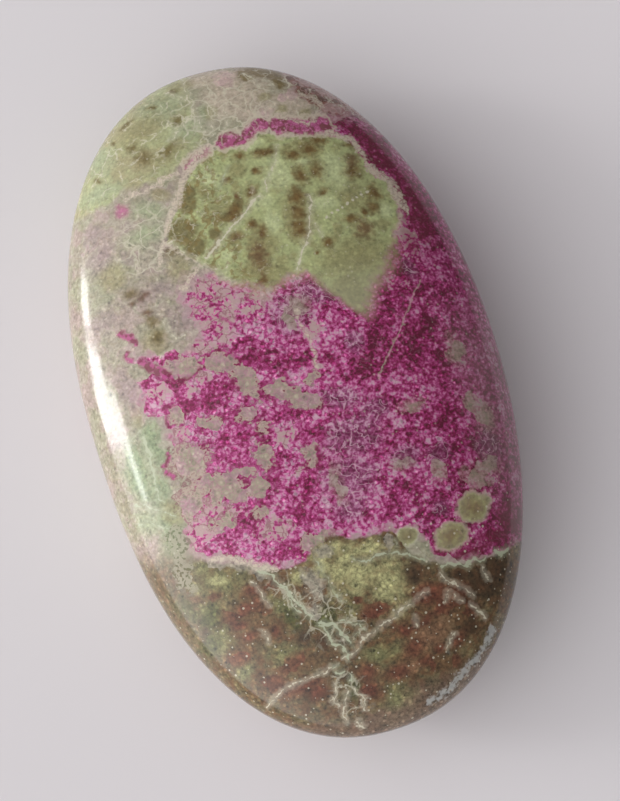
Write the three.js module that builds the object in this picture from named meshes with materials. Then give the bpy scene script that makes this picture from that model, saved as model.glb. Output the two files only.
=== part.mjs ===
// A polished palm stone of green serpentine with magenta stichtite: one solid, tumbled and hand-finished to a
// smooth oval with a low crown on top, a rounder belly below and a small worn flat that it rests on.
//
// Millimetres, +Z up, the long axis along Y. The origin is the middle of the resting flat.

import * as THREE from 'three';

// The plan outline, seen from above.
const LENGTH = 76;
const WIDTH = 44.8;
const OUTLINE_EXPONENT = 2.2; // 2 is a true ellipse; a little more fills out the shoulders

// Hand finishing leaves the outline slightly uneven: small waves, each a share of the radius.
const OUTLINE_WAVES = [
  { lobes: 3, cosine: 0.0056, sine: 0.0035 },
  { lobes: 4, cosine: 0, sine: -0.0017 },
];

// The side profile. The girdle is the level at which the stone is widest.
const GIRDLE_HEIGHT = 10;
const CROWN_HEIGHT = 8;
const CROWN_EXPONENTS = { outward: 2.5, upward: 2.1 };
const BELLY_EXPONENTS = { outward: 2.2, upward: 2.1 };
const RESTING_FLAT = 0.46; // the flat's reach, as a share of the outline

// How finely the curves are cut into flat faces.
const STEPS_AROUND = 96;
const CROWN_STEPS = 15;
const BELLY_STEPS = 13;

// Distance from the stone's middle to the outline, in the direction of an angle in plan.
function outlineRadius(angle) {
  const across = Math.abs(Math.cos(angle) / (WIDTH / 2)) ** OUTLINE_EXPONENT;
  const along = Math.abs(Math.sin(angle) / (LENGTH / 2)) ** OUTLINE_EXPONENT;
  let waves = 1;
  for (const { lobes, cosine, sine } of OUTLINE_WAVES) {
    waves += cosine * Math.cos(lobes * angle) + sine * Math.sin(lobes * angle);
  }
  return waves * (across + along) ** (-1 / OUTLINE_EXPONENT);
}

// One point of a rounded quarter curve: share 0 is at the girdle, share 1 at its far end.
function quarterCurve(share, exponents) {
  const turn = (share * Math.PI) / 2;
  return {
    outward: Math.cos(turn) ** (2 / exponents.outward),
    upward: Math.sin(turn) ** (2 / exponents.upward),
  };
}

// Half of the side profile, from the middle of the flat up to the middle of the crown. X is the distance out
// as a share of the outline, and Y is the height.
function sideProfile() {
  const points = [new THREE.Vector2(0, 0)];
  for (let step = BELLY_STEPS; step > 0; step -= 1) {
    const { outward, upward } = quarterCurve(step / BELLY_STEPS, BELLY_EXPONENTS);
    const reach = RESTING_FLAT + (1 - RESTING_FLAT) * (step === BELLY_STEPS ? 0 : outward);
    points.push(new THREE.Vector2(reach, GIRDLE_HEIGHT * (1 - upward)));
  }
  for (let step = 0; step < CROWN_STEPS; step += 1) {
    const { outward, upward } = quarterCurve(step / CROWN_STEPS, CROWN_EXPONENTS);
    points.push(new THREE.Vector2(outward, GIRDLE_HEIGHT + CROWN_HEIGHT * upward));
  }
  points.push(new THREE.Vector2(0, GIRDLE_HEIGHT + CROWN_HEIGHT));
  return points;
}

// The profile turned once around, then drawn out from a circle to the oval outline.
function stoneGeometry() {
  const geometry = new THREE.LatheGeometry(sideProfile(), STEPS_AROUND);
  geometry.rotateX(Math.PI / 2);
  const position = geometry.attributes.position;
  for (let index = 0; index < position.count; index += 1) {
    const angle = Math.atan2(position.getY(index), position.getX(index));
    const radius = outlineRadius(angle);
    position.setX(index, position.getX(index) * radius);
    position.setY(index, position.getY(index) * radius);
  }

  // The uneven outline is a little lopsided, so the box around it is centred on the origin.
  geometry.computeBoundingBox();
  const middle = geometry.boundingBox.getCenter(new THREE.Vector3());
  geometry.translate(-middle.x, -middle.y, 0);
  geometry.computeVertexNormals();
  return geometry;
}

const serpentineWithStichtite = new THREE.MeshStandardMaterial({
  color: new THREE.Color().setRGB(0.303, 0.221, 0.2, THREE.LinearSRGBColorSpace),
  roughness: 0.18,
  metalness: 0,
});

const stone = new THREE.Mesh(stoneGeometry(), serpentineWithStichtite);
stone.name = 'polished_stone';

const part = new THREE.Group();
part.add(stone);

export default part;
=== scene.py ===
"""A polished oval palm stone of serpentine and stichtite, shaped by nodes, with a solid mineral pattern.

Lengths in the pattern and in the form are millimetres; every Blender object is in metres.
"""
import logging
import math
from dataclasses import dataclass, field
from enum import Enum

import bpy
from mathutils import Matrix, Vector


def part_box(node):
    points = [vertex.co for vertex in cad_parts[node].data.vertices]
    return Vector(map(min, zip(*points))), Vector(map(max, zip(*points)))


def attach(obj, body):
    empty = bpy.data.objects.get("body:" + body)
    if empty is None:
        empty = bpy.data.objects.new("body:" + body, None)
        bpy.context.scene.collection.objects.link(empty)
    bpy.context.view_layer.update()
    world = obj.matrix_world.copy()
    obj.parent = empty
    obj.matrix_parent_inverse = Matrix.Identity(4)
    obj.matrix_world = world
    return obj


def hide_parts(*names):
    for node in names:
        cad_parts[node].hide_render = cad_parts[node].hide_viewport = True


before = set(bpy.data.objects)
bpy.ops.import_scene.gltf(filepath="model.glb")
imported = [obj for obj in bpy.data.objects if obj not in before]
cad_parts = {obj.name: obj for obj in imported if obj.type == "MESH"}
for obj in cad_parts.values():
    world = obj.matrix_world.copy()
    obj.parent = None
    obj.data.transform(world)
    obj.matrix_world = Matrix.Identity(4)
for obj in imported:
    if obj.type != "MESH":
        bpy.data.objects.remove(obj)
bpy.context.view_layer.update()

LOG = logging.getLogger("palm_stone")
MM = 0.001
HALVES = (0.5, 0.5, 0.5)

NODE_NAME = "polished_stone"

Number = float | int
Colour = tuple[float, float, float]
Point = tuple[float, float]
Settings = dict | None
Inputs = dict | list | None


# ---- Node building ---------------------------------------------------------------------------------------


class Signal:
    """A node's output socket. Arithmetic on it adds Math nodes to the same tree."""

    def __init__(self, bench: "Bench", socket: bpy.types.NodeSocket) -> None:
        """Wraps a socket.

        Args:
            bench: The tree that the socket belongs to.
            socket: The output socket.
        """
        self.bench = bench
        self.socket = socket

    def math(self, operation: str, *others: "Signal | Number") -> "Signal":
        """Adds a Math node with this signal first.

        Args:
            operation: The Math node's operation.
            others: Its second and third values.

        Returns:
            The result.
        """
        return self.bench.add("ShaderNodeMath", {"operation": operation}, [self, *others])

    def __add__(self, other: "Signal | Number") -> "Signal":
        """This plus other."""
        return self.math("ADD", other)

    __radd__ = __add__

    def __sub__(self, other: "Signal | Number") -> "Signal":
        """This minus other."""
        return self.math("SUBTRACT", other)

    def __rsub__(self, other: Number) -> "Signal":
        """A number minus this."""
        return self.bench.add("ShaderNodeMath", {"operation": "SUBTRACT"}, [other, self])

    def __mul__(self, other: "Signal | Number") -> "Signal":
        """This times other."""
        return self.math("MULTIPLY", other)

    __rmul__ = __mul__

    def __truediv__(self, other: "Signal | Number") -> "Signal":
        """This divided by other."""
        return self.math("DIVIDE", other)

    def __pow__(self, other: Number) -> "Signal":
        """This to a power."""
        return self.math("POWER", other)

    def __abs__(self) -> "Signal":
        """The size of this, without its sign."""
        return self.math("ABSOLUTE")

    def least(self, other: "Signal | Number") -> "Signal":
        """The smaller of this and other."""
        return self.math("MINIMUM", other)

    def most(self, other: "Signal | Number") -> "Signal":
        """The larger of this and other."""
        return self.math("MAXIMUM", other)

    def ramp(self, low: Number, high: Number) -> "Signal":
        """A smooth step.

        Args:
            low: Where the step is 0.
            high: Where the step is 1. It may be below low.

        Returns:
            0 to 1.
        """
        settings = {"interpolation_type": "SMOOTHSTEP"}
        sockets = {"Value": self, "From Min": low, "From Max": high}
        return self.bench.add("ShaderNodeMapRange", settings, sockets)

    def swing(self, share: "Signal | Number") -> "Signal":
        """How far this is from a half, times a share."""
        return (self - 0.5) * share

    def curve(self, points: list[Point]) -> "Signal":
        """The height at this of a line through points, from left to right, held level past its ends."""
        return self.bench.add("ShaderNodeFloatCurve", {"curve": points}, {"Value": self})


class Bench:
    """Adds nodes to one shader or geometry tree."""

    # The Mix node's sockets for colours, by number, as its names are shared by several.
    MIX_COVER, MIX_UNDER, MIX_OVER, MIX_RESULT = 0, 6, 7, 2

    def __init__(self, tree: bpy.types.NodeTree) -> None:
        """Starts on a tree.

        Args:
            tree: The tree to add nodes to.
        """
        self.tree = tree

    def node(self, kind: str, settings: Settings = None, inputs: Inputs = None) -> bpy.types.Node:
        """Adds one node.

        Args:
            kind: The node's type name.
            settings: Its properties, set before its sockets. "curve" draws a curve, and "stops" a ramp.
            inputs: Values or signals, by socket name or number, or in order.

        Returns:
            The node.
        """
        node = self.tree.nodes.new(kind)
        for name, value in (settings or {}).items():
            if name == "curve":
                self._draw_curve(node, value)
            elif name == "stops":
                self._set_stops(node, value)
            else:
                setattr(node, name, value)
        pairs = inputs.items() if isinstance(inputs, dict) else enumerate(inputs or [])
        for key, value in pairs:
            if isinstance(value, Signal):
                self.tree.links.new(value.socket, node.inputs[key])
            else:
                node.inputs[key].default_value = value
        return node

    def add(
        self, kind: str, settings: Settings = None, inputs: Inputs = None, output: str | int = 0
    ) -> Signal:
        """Adds one node and gives one of its outputs.

        Args:
            kind: The node's type name.
            settings: Its properties.
            inputs: Its sockets' values or signals.
            output: The output's name or number.

        Returns:
            That output.
        """
        return Signal(self, self.node(kind, settings, inputs).outputs[output])

    def vector(self, operation: str, *values: object) -> Signal:
        """Adds a Vector Math node.

        Args:
            operation: Its operation.
            values: Its vectors, in order.

        Returns:
            The vector, or the number where the operation gives one.
        """
        output = "Value" if operation in ("LENGTH", "DOT_PRODUCT") else "Vector"
        return self.add("ShaderNodeVectorMath", {"operation": operation}, list(values), output)

    def scaled(self, vector: Signal, factor: Signal | Number) -> Signal:
        """A vector times a number."""
        settings = {"operation": "SCALE"}
        return self.add("ShaderNodeVectorMath", settings, {"Vector": vector, "Scale": factor}, "Vector")

    def split(self, vector: Signal) -> tuple[Signal, Signal, Signal]:
        """A vector's three parts."""
        node = self.node("ShaderNodeSeparateXYZ", None, [vector])
        return tuple(Signal(self, output) for output in node.outputs)

    def join(self, x: Signal | Number, y: Signal | Number, z: Signal | Number) -> Signal:
        """A vector from three parts."""
        return self.add("ShaderNodeCombineXYZ", None, [x, y, z])

    def mix(self, under: object, over: object, cover: Signal | Number) -> Signal:
        """Lays one colour over another.

        Args:
            under: The colour below, as a signal, a mineral or three numbers.
            over: The colour on top.
            cover: How much of the top colour shows, from 0 to 1.

        Returns:
            The mixed colour.
        """
        settings = {"data_type": "RGBA", "clamp_factor": True}
        colours = {self.MIX_UNDER: self._opaque(under), self.MIX_OVER: self._opaque(over)}
        return self.add("ShaderNodeMix", settings, {self.MIX_COVER: cover, **colours}, self.MIX_RESULT)

    def noise(
        self, where: Signal, size: Number, detail: Number = 2, output: str = "Fac", **extra: object
    ) -> Signal:
        """Adds cloudy noise.

        Args:
            where: The place that it is read at, in millimetres.
            size: The width of one cloud, in millimetres.
            detail: How many finer layers are added.
            output: "Fac" for a number or "Color" for a vector.
            extra: Other sockets of the Noise Texture, by name.

        Returns:
            The noise, about 0.5 on average.
        """
        sockets = {"Vector": where, "Scale": 1 / size, "Detail": detail, **extra}
        return self.add("ShaderNodeTexNoise", None, sockets, output)

    @staticmethod
    def _opaque(colour: object) -> object:
        """Gives a mineral's colour or three numbers a fourth, and leaves a signal alone."""
        plain = colour.value if isinstance(colour, Enum) else colour
        return plain if isinstance(plain, Signal) else (*plain, 1.0)

    @staticmethod
    def _draw_curve(node: bpy.types.Node, points: list[Point]) -> None:
        """Draws a Float Curve in straight pieces.

        Args:
            node: The Float Curve node.
            points: Its points, from left to right.
        """
        mapping = node.mapping
        mapping.use_clip = False
        mapping.extend = "HORIZONTAL"
        drawn = mapping.curves[0].points
        for point, place in zip(drawn, (points[0], points[-1])):
            point.location = place
        for place in points[1:-1]:
            drawn.new(*place)
        for point in drawn:
            point.handle_type = "VECTOR"
        mapping.update()

    def _set_stops(self, node: bpy.types.Node, stops: tuple[tuple[float, object], ...]) -> None:
        """Sets a Color Ramp's stops.

        Args:
            node: The Color Ramp node.
            stops: Each stop's place and colour, from left to right.
        """
        elements = node.color_ramp.elements
        elements[0].position = stops[0][0]
        elements[1].position = stops[-1][0]
        for place, _ in stops[1:-1]:
            elements.new(place)
        for element, (_, colour) in zip(elements, stops):
            element.color = self._opaque(colour)


def tone(red: int, green: int, blue: int) -> Colour:
    """A colour as it shows on a screen, made linear.

    Args:
        red: 0 to 255.
        green: 0 to 255.
        blue: 0 to 255.

    Returns:
        The linear colour, 0 to 1.
    """
    # The numbers below are those of the standard screen curve.
    shares = (red / 255, green / 255, blue / 255)
    return tuple(
        share / 12.92 if share <= 0.04045 else ((share + 0.055) / 1.055) ** 2.4 for share in shares
    )


# ---- The stone's form ------------------------------------------------------------------------------------


@dataclass(frozen=True)
class Wave:
    """A slight waver of the outline: how many lobes it has, and its two parts as shares of the radius."""

    lobes: int
    cosine: float
    sine: float


@dataclass
class StoneForm:
    """The stone's shape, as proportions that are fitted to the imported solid's box."""

    width: float = 44.8
    length: float = 76.0
    outline_exponent: float = 2.2
    waves: tuple[Wave, ...] = (Wave(3, 0.0056, 0.0035), Wave(4, 0.0, -0.0017))
    girdle_height: float = 10.0
    crown_height: float = 8.0
    crown_exponents: tuple[float, float] = (2.5, 2.1)
    belly_exponents: tuple[float, float] = (2.2, 2.1)
    resting_flat: float = 0.46
    belly_share: float = 0.72
    steps_per_side: int = 112

    def build(self, low: Vector, high: Vector, material: bpy.types.Material) -> bpy.types.Object:
        """Makes the stone as a plain mesh object.

        Args:
            low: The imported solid's lowest corner, in metres.
            high: Its highest corner.
            material: The stone's finish.

        Returns:
            The finished object, with its place in its mesh.
        """
        tree, sockets = self._tree()
        host = bpy.data.objects.new("stone_host", bpy.data.meshes.new("stone_host"))
        bpy.context.scene.collection.objects.link(host)
        modifier = host.modifiers.new("stone_form", "NODES")
        modifier.node_group = tree
        values = {
            "Width": self.width * MM,
            "Length": self.length * MM,
            "Girdle Height": self.girdle_height * MM,
            "Crown Height": self.crown_height * MM,
            "Steps": self.steps_per_side,
            "Low Corner": tuple(low),
            "High Corner": tuple(high),
            "Finish": material,
        }
        for name, value in values.items():
            modifier[sockets[name]] = value
        depsgraph = bpy.context.evaluated_depsgraph_get()
        mesh = bpy.data.meshes.new_from_object(host.evaluated_get(depsgraph))
        host.modifiers.remove(modifier)
        bpy.data.objects.remove(host)
        mesh.name = NODE_NAME
        mesh.materials.clear()
        mesh.materials.append(material)
        mesh.shade_smooth()
        stone = bpy.data.objects.new("stone_body", mesh)
        bpy.context.scene.collection.objects.link(stone)
        return stone

    def _tree(self) -> tuple[bpy.types.NodeTree, dict[str, str]]:
        """Builds the geometry tree.

        Returns:
            The tree, and each input's identifier by its name.
        """
        tree = bpy.data.node_groups.new("stone_form", "GeometryNodeTree")
        tree.interface.new_socket("Geometry", in_out="OUTPUT", socket_type="NodeSocketGeometry")
        kinds = {
            "Width": "Float",
            "Length": "Float",
            "Girdle Height": "Float",
            "Crown Height": "Float",
            "Steps": "Int",
            "Low Corner": "Vector",
            "High Corner": "Vector",
            "Finish": "Material",
        }
        identifiers = {}
        for name, kind in kinds.items():
            socket = tree.interface.new_socket(name, in_out="INPUT", socket_type=f"NodeSocket{kind}")
            identifiers[name] = socket.identifier
        bench = Bench(tree)
        group = bench.node("NodeGroupInput")
        given = {name: Signal(bench, group.outputs[name]) for name in kinds}

        steps = given["Steps"]
        sides = {f"Vertices {axis}": steps for axis in "XYZ"}
        cube = bench.add("GeometryNodeMeshCube", None, sides)
        ball = bench.vector("NORMALIZE", bench.add("GeometryNodeInputPosition"))
        place = self._place(bench, ball, given)
        rough = bench.add("GeometryNodeSetPosition", None, {"Geometry": cube, "Position": place})
        fitted = self._fit(bench, rough, given["Low Corner"], given["High Corner"])
        whole = bench.add("GeometryNodeRealizeInstances", None, [fitted])
        sockets = {"Geometry": whole, "Material": given["Finish"]}
        dressed = bench.add("GeometryNodeSetMaterial", None, sockets)
        bench.node("NodeGroupOutput", None, [dressed])
        return tree, identifiers

    def _place(self, bench: Bench, ball: Signal, given: dict[str, Signal]) -> Signal:
        """Moves a point of a unit ball to its place on the stone.

        Args:
            bench: The geometry tree.
            ball: The point on the ball.
            given: The tree's inputs.

        Returns:
            The place, in metres.
        """
        x, y, z = bench.split(ball)
        level = bench.vector("LENGTH", bench.join(x, y, 0.0))
        rise = abs(z)
        crown_reach = level ** (2 / self.crown_exponents[0])
        crown_lift = given["Crown Height"] * rise ** (2 / self.crown_exponents[1])

        descent = rise.math("ARCSINE") * (2 / math.pi)
        turn = (descent / self.belly_share).least(1.0) * (math.pi / 2)
        curl = turn.math("COSINE").most(0.0) ** (2 / self.belly_exponents[0])
        inward = ((1.0 - descent) / (1 - self.belly_share)).least(1.0)
        belly_reach = (curl * (1 - self.resting_flat) + self.resting_flat) * inward
        belly_drop = given["Girdle Height"] * turn.math("SINE") ** (2 / self.belly_exponents[1])

        above = z.math("GREATER_THAN", 0.0)
        reach = belly_reach + (crown_reach - belly_reach) * above
        height = given["Girdle Height"] - belly_drop + (crown_lift + belly_drop) * above

        angle = y.math("ARCTAN2", x)
        across = abs(angle.math("COSINE") / (given["Width"] / 2)) ** self.outline_exponent
        along = abs(angle.math("SINE") / (given["Length"] / 2)) ** self.outline_exponent
        radius = (across + along) ** (-1 / self.outline_exponent)
        waver = 0.0
        for wave in self.waves:
            swing = angle * wave.lobes
            waver = swing.math("COSINE") * wave.cosine + swing.math("SINE") * wave.sine + waver
        out = radius * (waver + 1.0) * reach
        return bench.join(out * angle.math("COSINE"), out * angle.math("SINE"), height)

    @staticmethod
    def _fit(bench: Bench, geometry: Signal, low: Signal, high: Signal) -> Signal:
        """Fits the shape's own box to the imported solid's box.

        Args:
            bench: The geometry tree.
            geometry: The stone.
            low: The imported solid's lowest corner.
            high: Its highest corner.

        Returns:
            The fitted stone.
        """
        box = bench.node("GeometryNodeBoundBox", None, [geometry])
        bottom, top = Signal(bench, box.outputs["Min"]), Signal(bench, box.outputs["Max"])
        point = bench.add("GeometryNodeInputPosition")
        offset = bench.vector("SUBTRACT", point, bottom)
        share = bench.vector("DIVIDE", offset, bench.vector("SUBTRACT", top, bottom))
        place = bench.vector("MULTIPLY_ADD", share, bench.vector("SUBTRACT", high, low), low)
        return bench.add("GeometryNodeSetPosition", None, {"Geometry": geometry, "Position": place})


# ---- The mineral map: places in the stone's plan, in millimetres from its middle -------------------------


@dataclass(frozen=True)
class Patch:
    """A rounded patch: its middle, half its length, half its breadth, and its turn in degrees."""

    x: float
    y: float
    reach: float
    breadth: float
    turn: float = 0.0


@dataclass(frozen=True)
class Outline:
    """A closed outline: a middle from which all of it can be seen, and its points in turn."""

    middle: Point
    points: tuple[Point, ...]


@dataclass(frozen=True)
class Vein:
    """A vein: its width, and its course from one end to the other."""

    width: float
    points: tuple[Point, ...]


class Mineral(Enum):
    """The stone's colours, lit evenly."""

    MATRIX_PINK = tone(172, 155, 145)
    MATRIX_OLIVE = tone(160, 154, 132)
    BEIGE = tone(192, 178, 158)
    CLAST = tone(161, 158, 134)
    CAP_GREEN = tone(170, 176, 128)
    CAP_OLIVE = tone(164, 158, 118)
    PALE_GREEN = tone(157, 165, 131)
    PALE_MINT = tone(140, 156, 120)
    OLIVE = tone(150, 144, 104)
    OLIVE_BROWN = tone(122, 104, 60)
    SPOT_BROWN = tone(104, 88, 44)
    RED_BROWN = tone(92, 58, 36)
    MAROON = tone(132, 78, 64)
    DARK_BROWN = tone(66, 44, 28)
    MAUVE = tone(150, 132, 130)
    TOP_MAUVE = tone(202, 172, 170)
    LOBE_GREEN = tone(172, 179, 127)
    LOBE_BRIGHT = tone(194, 202, 152)
    LOBE_OLIVE = tone(146, 142, 98)
    LOBE_SHADE = tone(112, 100, 62)
    LOBE_BROWN = tone(112, 86, 46)
    LOBE_RUST = tone(104, 64, 40)
    YELLOW_GREEN = tone(176, 174, 124)
    LOW_GROUND = tone(112, 100, 70)
    LOW_GREEN = tone(126, 126, 84)
    LOW_BROWN = tone(104, 78, 52)
    LOW_MOSS = tone(78, 82, 42)
    LOW_TAN = tone(136, 102, 76)
    LOW_RED = tone(106, 60, 44)
    LOW_BASE = tone(126, 106, 90)
    PINK_GREY = tone(160, 152, 136)
    CREAM = tone(212, 206, 182)
    MINT = tone(182, 188, 160)
    ROSE_CREAM = tone(206, 192, 172)
    STICHTITE_GROUND = tone(208, 168, 184)
    STICHTITE_BLUSH = tone(204, 154, 178)
    STICHTITE_PINK = tone(208, 114, 166)
    STICHTITE_ROSE = tone(180, 70, 132)
    STICHTITE = tone(152, 36, 98)
    STICHTITE_CRIMSON = tone(120, 20, 66)
    STICHTITE_DARK = tone(90, 15, 45)
    STICHTITE_MAROON = tone(122, 44, 64)
    STICHTITE_LILAC = tone(178, 124, 154)
    STICHTITE_PLUM = tone(136, 74, 108)
    STICHTITE_SHADE = tone(106, 38, 76)
    FIELD_BEIGE = tone(182, 156, 150)
    # A painted reflection of the floor along the rim, not a colour of the stone.
    PAINTED_RIM_REFLECTION = tone(196, 202, 200)


@dataclass(frozen=True)
class Layer:
    """Patches of one mineral, how soft their edges are as a share of their size, and their cover."""

    mineral: Mineral
    soft: float
    cover: float
    patches: tuple[Patch, ...]
    grainy: bool = False  # Whether grains break up the edges, and not clouds.
    broken: bool = False  # Whether the plan is broken into shards.
    grow: float = 1.0
    swing: float = 1.0  # How much more than usual the edges sway.


def patches(*rows: tuple[float, ...]) -> tuple[Patch, ...]:
    """Patches from rows: a middle's x and y, a reach, a breadth and, for a turned patch, its turn."""
    return tuple(Patch(*row) for row in rows)


def veins(*rows: tuple) -> tuple[Vein, ...]:
    """Veins from rows: a width, and then the points of a course."""
    return tuple(Vein(row[0], row[1:]) for row in rows)


# The field's colours from lean to rich, and the greyer ones where it turns lilac.
STAIN_STOPS = (
    (0.0, Mineral.STICHTITE_GROUND),
    (0.2, Mineral.STICHTITE_BLUSH),
    (0.38, Mineral.STICHTITE_PINK),
    (0.54, Mineral.STICHTITE_ROSE),
    (0.72, Mineral.STICHTITE),
    (0.9, Mineral.STICHTITE_CRIMSON),
    (1.0, Mineral.STICHTITE_DARK),
)
LILAC_STOPS = (
    (0.0, Mineral.STICHTITE_GROUND),
    (0.28, Mineral.STICHTITE_LILAC),
    (0.54, Mineral.STICHTITE_PLUM),
    (0.88, Mineral.STICHTITE_SHADE),
)

# The southern and northern ends of the large areas that don't run the whole length.
CAP_SPAN = (24.4, 38.5)
LOBE_SPAN = (3.8, 27.3)
FOOT_SPAN = (-40.0, -13.0)

# The pale serpentine cap above the rose band, and the pale ground on the left.
PALE_CAP = Outline(
    (-8.0, 30.0),
    (
        (-1.6, 38.5), (-1.9, 34.0), (-2.0, 30.5), (-1.5, 28.5), (-3.5, 26.8), (-6.0, 25.2), (-9.5, 24.8),
        (-12.0, 25.2), (-14.0, 24.4), (-17.5, 24.5), (-19.5, 26.0), (-18.0, 31.0), (-12.0, 36.5),
        (-6.0, 38.5),
    ),
)
CAP_LAYERS = (
    Layer(Mineral.BEIGE, 0.4, 0.85, patches=patches(
        (3.4, 32.6, 4.6, 4.0), (8.0, 29.8, 3.2, 2.2, -30), (1.0, 36.0, 3.0, 1.4),
    )),
    Layer(Mineral.PALE_GREEN, 0.8, 0.85, patches=patches(
        (-5.0, 33.6, 4.0, 2.6, 15), (-3.0, 29.8, 2.4, 1.7), (-13.4, 30.4, 2.0, 2.6),
        (-14.2, 26.0, 2.8, 1.4), (-11.0, 19.3, 2.8, 1.3), (-9.6, 21.8, 2.2, 1.3, -30),
        (-15.7, -2.3, 1.7, 1.9), (-18.4, -5.5, 1.8, 3.4), (-18.9, -10.4, 1.4, 2.0, 20),
        (-16.6, -13.4, 1.8, 2.0, 20), (-0.9, 31.4, 0.9, 1.5),
    )),
    Layer(Mineral.PALE_MINT, 0.6, 0.8, patches=patches(
        (-16.0, -3.2, 1.7, 3.2, -5), (-17.0, -8.0, 1.5, 2.4), (-16.6, -12.0, 1.5, 2.6),
        (-18.6, -5.0, 1.0, 4.0),
    )),
    Layer(Mineral.OLIVE, 0.6, 0.7, patches=patches(
        (-16.2, -10.6, 1.2, 1.7, 20), (-17.0, 0.6, 0.8, 1.4), (-8.2, 31.6, 3.2, 1.9, 20),
        (-6.6, 27.4, 2.4, 1.1, 15), (-2.4, 36.2, 1.8, 1.0), (-15.4, 16.0, 1.8, 1.6),
        (-13.0, 7.4, 1.5, 2.1), (-8.4, 14.4, 1.5, 1.8), (-7.9, 23.2, 1.2, 0.8, -30),
        (-13.2, -5.8, 1.6, 1.2), (-4.4, 28.4, 0.9, 0.8), (9.6, 28.3, 0.9, 0.7, 30), (6.0, 31.5, 1.0, 0.6),
        (7.4, 29.4, 0.9, 0.6), (-0.2, 31.2, 0.8, 1.1),
    )),
    Layer(Mineral.MAUVE, 0.6, 0.6, grainy=True, patches=patches(
        (-16.1, 21.3, 1.5, 1.2), (-16.3, 18.6, 1.9, 1.3, 30), (-17.6, 11.8, 1.6, 1.6),
        (-13.4, 17.2, 0.7, 1.2, 20), (-12.3, 20.9, 0.9, 0.7), (-11.0, 12.6, 1.4, 1.4),
        (-9.8, 8.4, 1.6, 1.8), (-17.2, 3.0, 1.0, 2.6),
    )),
    Layer(Mineral.TOP_MAUVE, 0.5, 0.7, grainy=True, broken=True, patches=patches(
        (8.8, 30.9, 1.6, 0.9, -10), (5.2, 29.4, 1.1, 0.8), (12.2, 27.6, 1.6, 0.9, -20),
        (2.4, 35.2, 1.2, 1.6), (15.0, 18.2, 0.9, 1.8, 15), (12.0, 25.6, 1.4, 0.5, -30),
    )),
    Layer(Mineral.SPOT_BROWN, 1.0, 0.85, grainy=True, grow=1.3, swing=1.2, patches=patches(
        (-8.7, 28.3, 0.8, 0.9), (-9.4, 29.8, 0.6, 0.6), (-5.9, 28.1, 0.8, 0.4, 25),
        (-6.2, 34.3, 0.5, 0.3), (-9.2, 33.4, 0.8, 0.3, 25), (-3.5, 35.6, 0.5, 0.3, -30),
        (-3.9, 31.4, 0.5, 0.6), (-11.3, 31.5, 0.3, 0.3), (-14.1, 27.7, 0.5, 0.3, -30),
        (-12.7, 9.4, 0.6, 0.5), (-12.6, 7.7, 0.7, 0.6), (-14.1, 13.4, 0.8, 0.5), (-8.6, 16.4, 0.8, 0.5),
        (-12.9, 9.9, 0.5, 0.4),
    )),
    Layer(Mineral.RED_BROWN, 1.0, 0.85, grainy=True, grow=1.3, swing=1.2, patches=patches(
        (-12.8, 12.6, 0.7, 0.4, 10), (-13.0, 10.8, 0.5, 0.4), (-14.3, 12.3, 0.4, 0.3),
    )),
    Layer(Mineral.OLIVE_BROWN, 0.4, 0.85, patches=patches(
        (6.8, 35.1, 2.4, 1.0, -25), (8.3, 33.2, 0.9, 1.2), (4.8, 35.0, 1.3, 0.8, -45),
    )),
)
SHADED_FLANK = Outline(
    (14.0, 29.0),
    (
        (8.8, 34.8), (9.0, 32.8), (9.9, 30.6), (10.8, 29.2), (11.7, 28.1), (12.9, 27.0), (14.3, 26.4),
        (15.6, 25.0), (18.4, 24.4), (17.6, 29.0), (13.6, 33.6), (11.4, 35.0),
    ),
)
PURPLE_SPOT = Patch(-12.4, 22.9, 0.7, 0.8)

# The granular stichtite field across the middle.
STICHTITE_FIELD = Outline(
    (4.0, -3.0),
    (
        (23.5, -3.0), (23.0, 8.0), (20.5, 18.0), (17.6, 25.0), (15.0, 26.8), (11.6, 26.6), (8.0, 20.0),
        (0.0, 12.0), (-3.6, 11.0), (-5.0, 12.3), (-7.4, 12.6), (-9.2, 11.4), (-8.4, 8.6), (-8.0, 6.4),
        (-9.6, 5.2), (-11.2, 3.6), (-12.4, 4.4), (-14.6, 5.4), (-16.2, 6.4), (-15.6, 4.0), (-15.8, 1.2),
        (-16.0, 0.4), (-14.2, -1.0), (-14.0, -3.6), (-11.6, -4.6), (-11.2, -7.2), (-11.0, -8.4),
        (-14.2, -8.8), (-15.0, -12.0), (-15.4, -14.6), (-13.2, -16.2), (-10.4, -17.5), (-8.6, -18.9),
        (-6.4, -19.7), (-4.4, -19.6), (-3.4, -18.2), (-1.2, -17.4), (0.2, -18.6), (3.0, -19.0),
        (5.6, -18.8), (7.4, -19.6), (8.2, -22.0), (11.0, -23.9), (15.0, -23.8), (18.6, -23.4),
        (21.6, -17.0),
    ),
)
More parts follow.
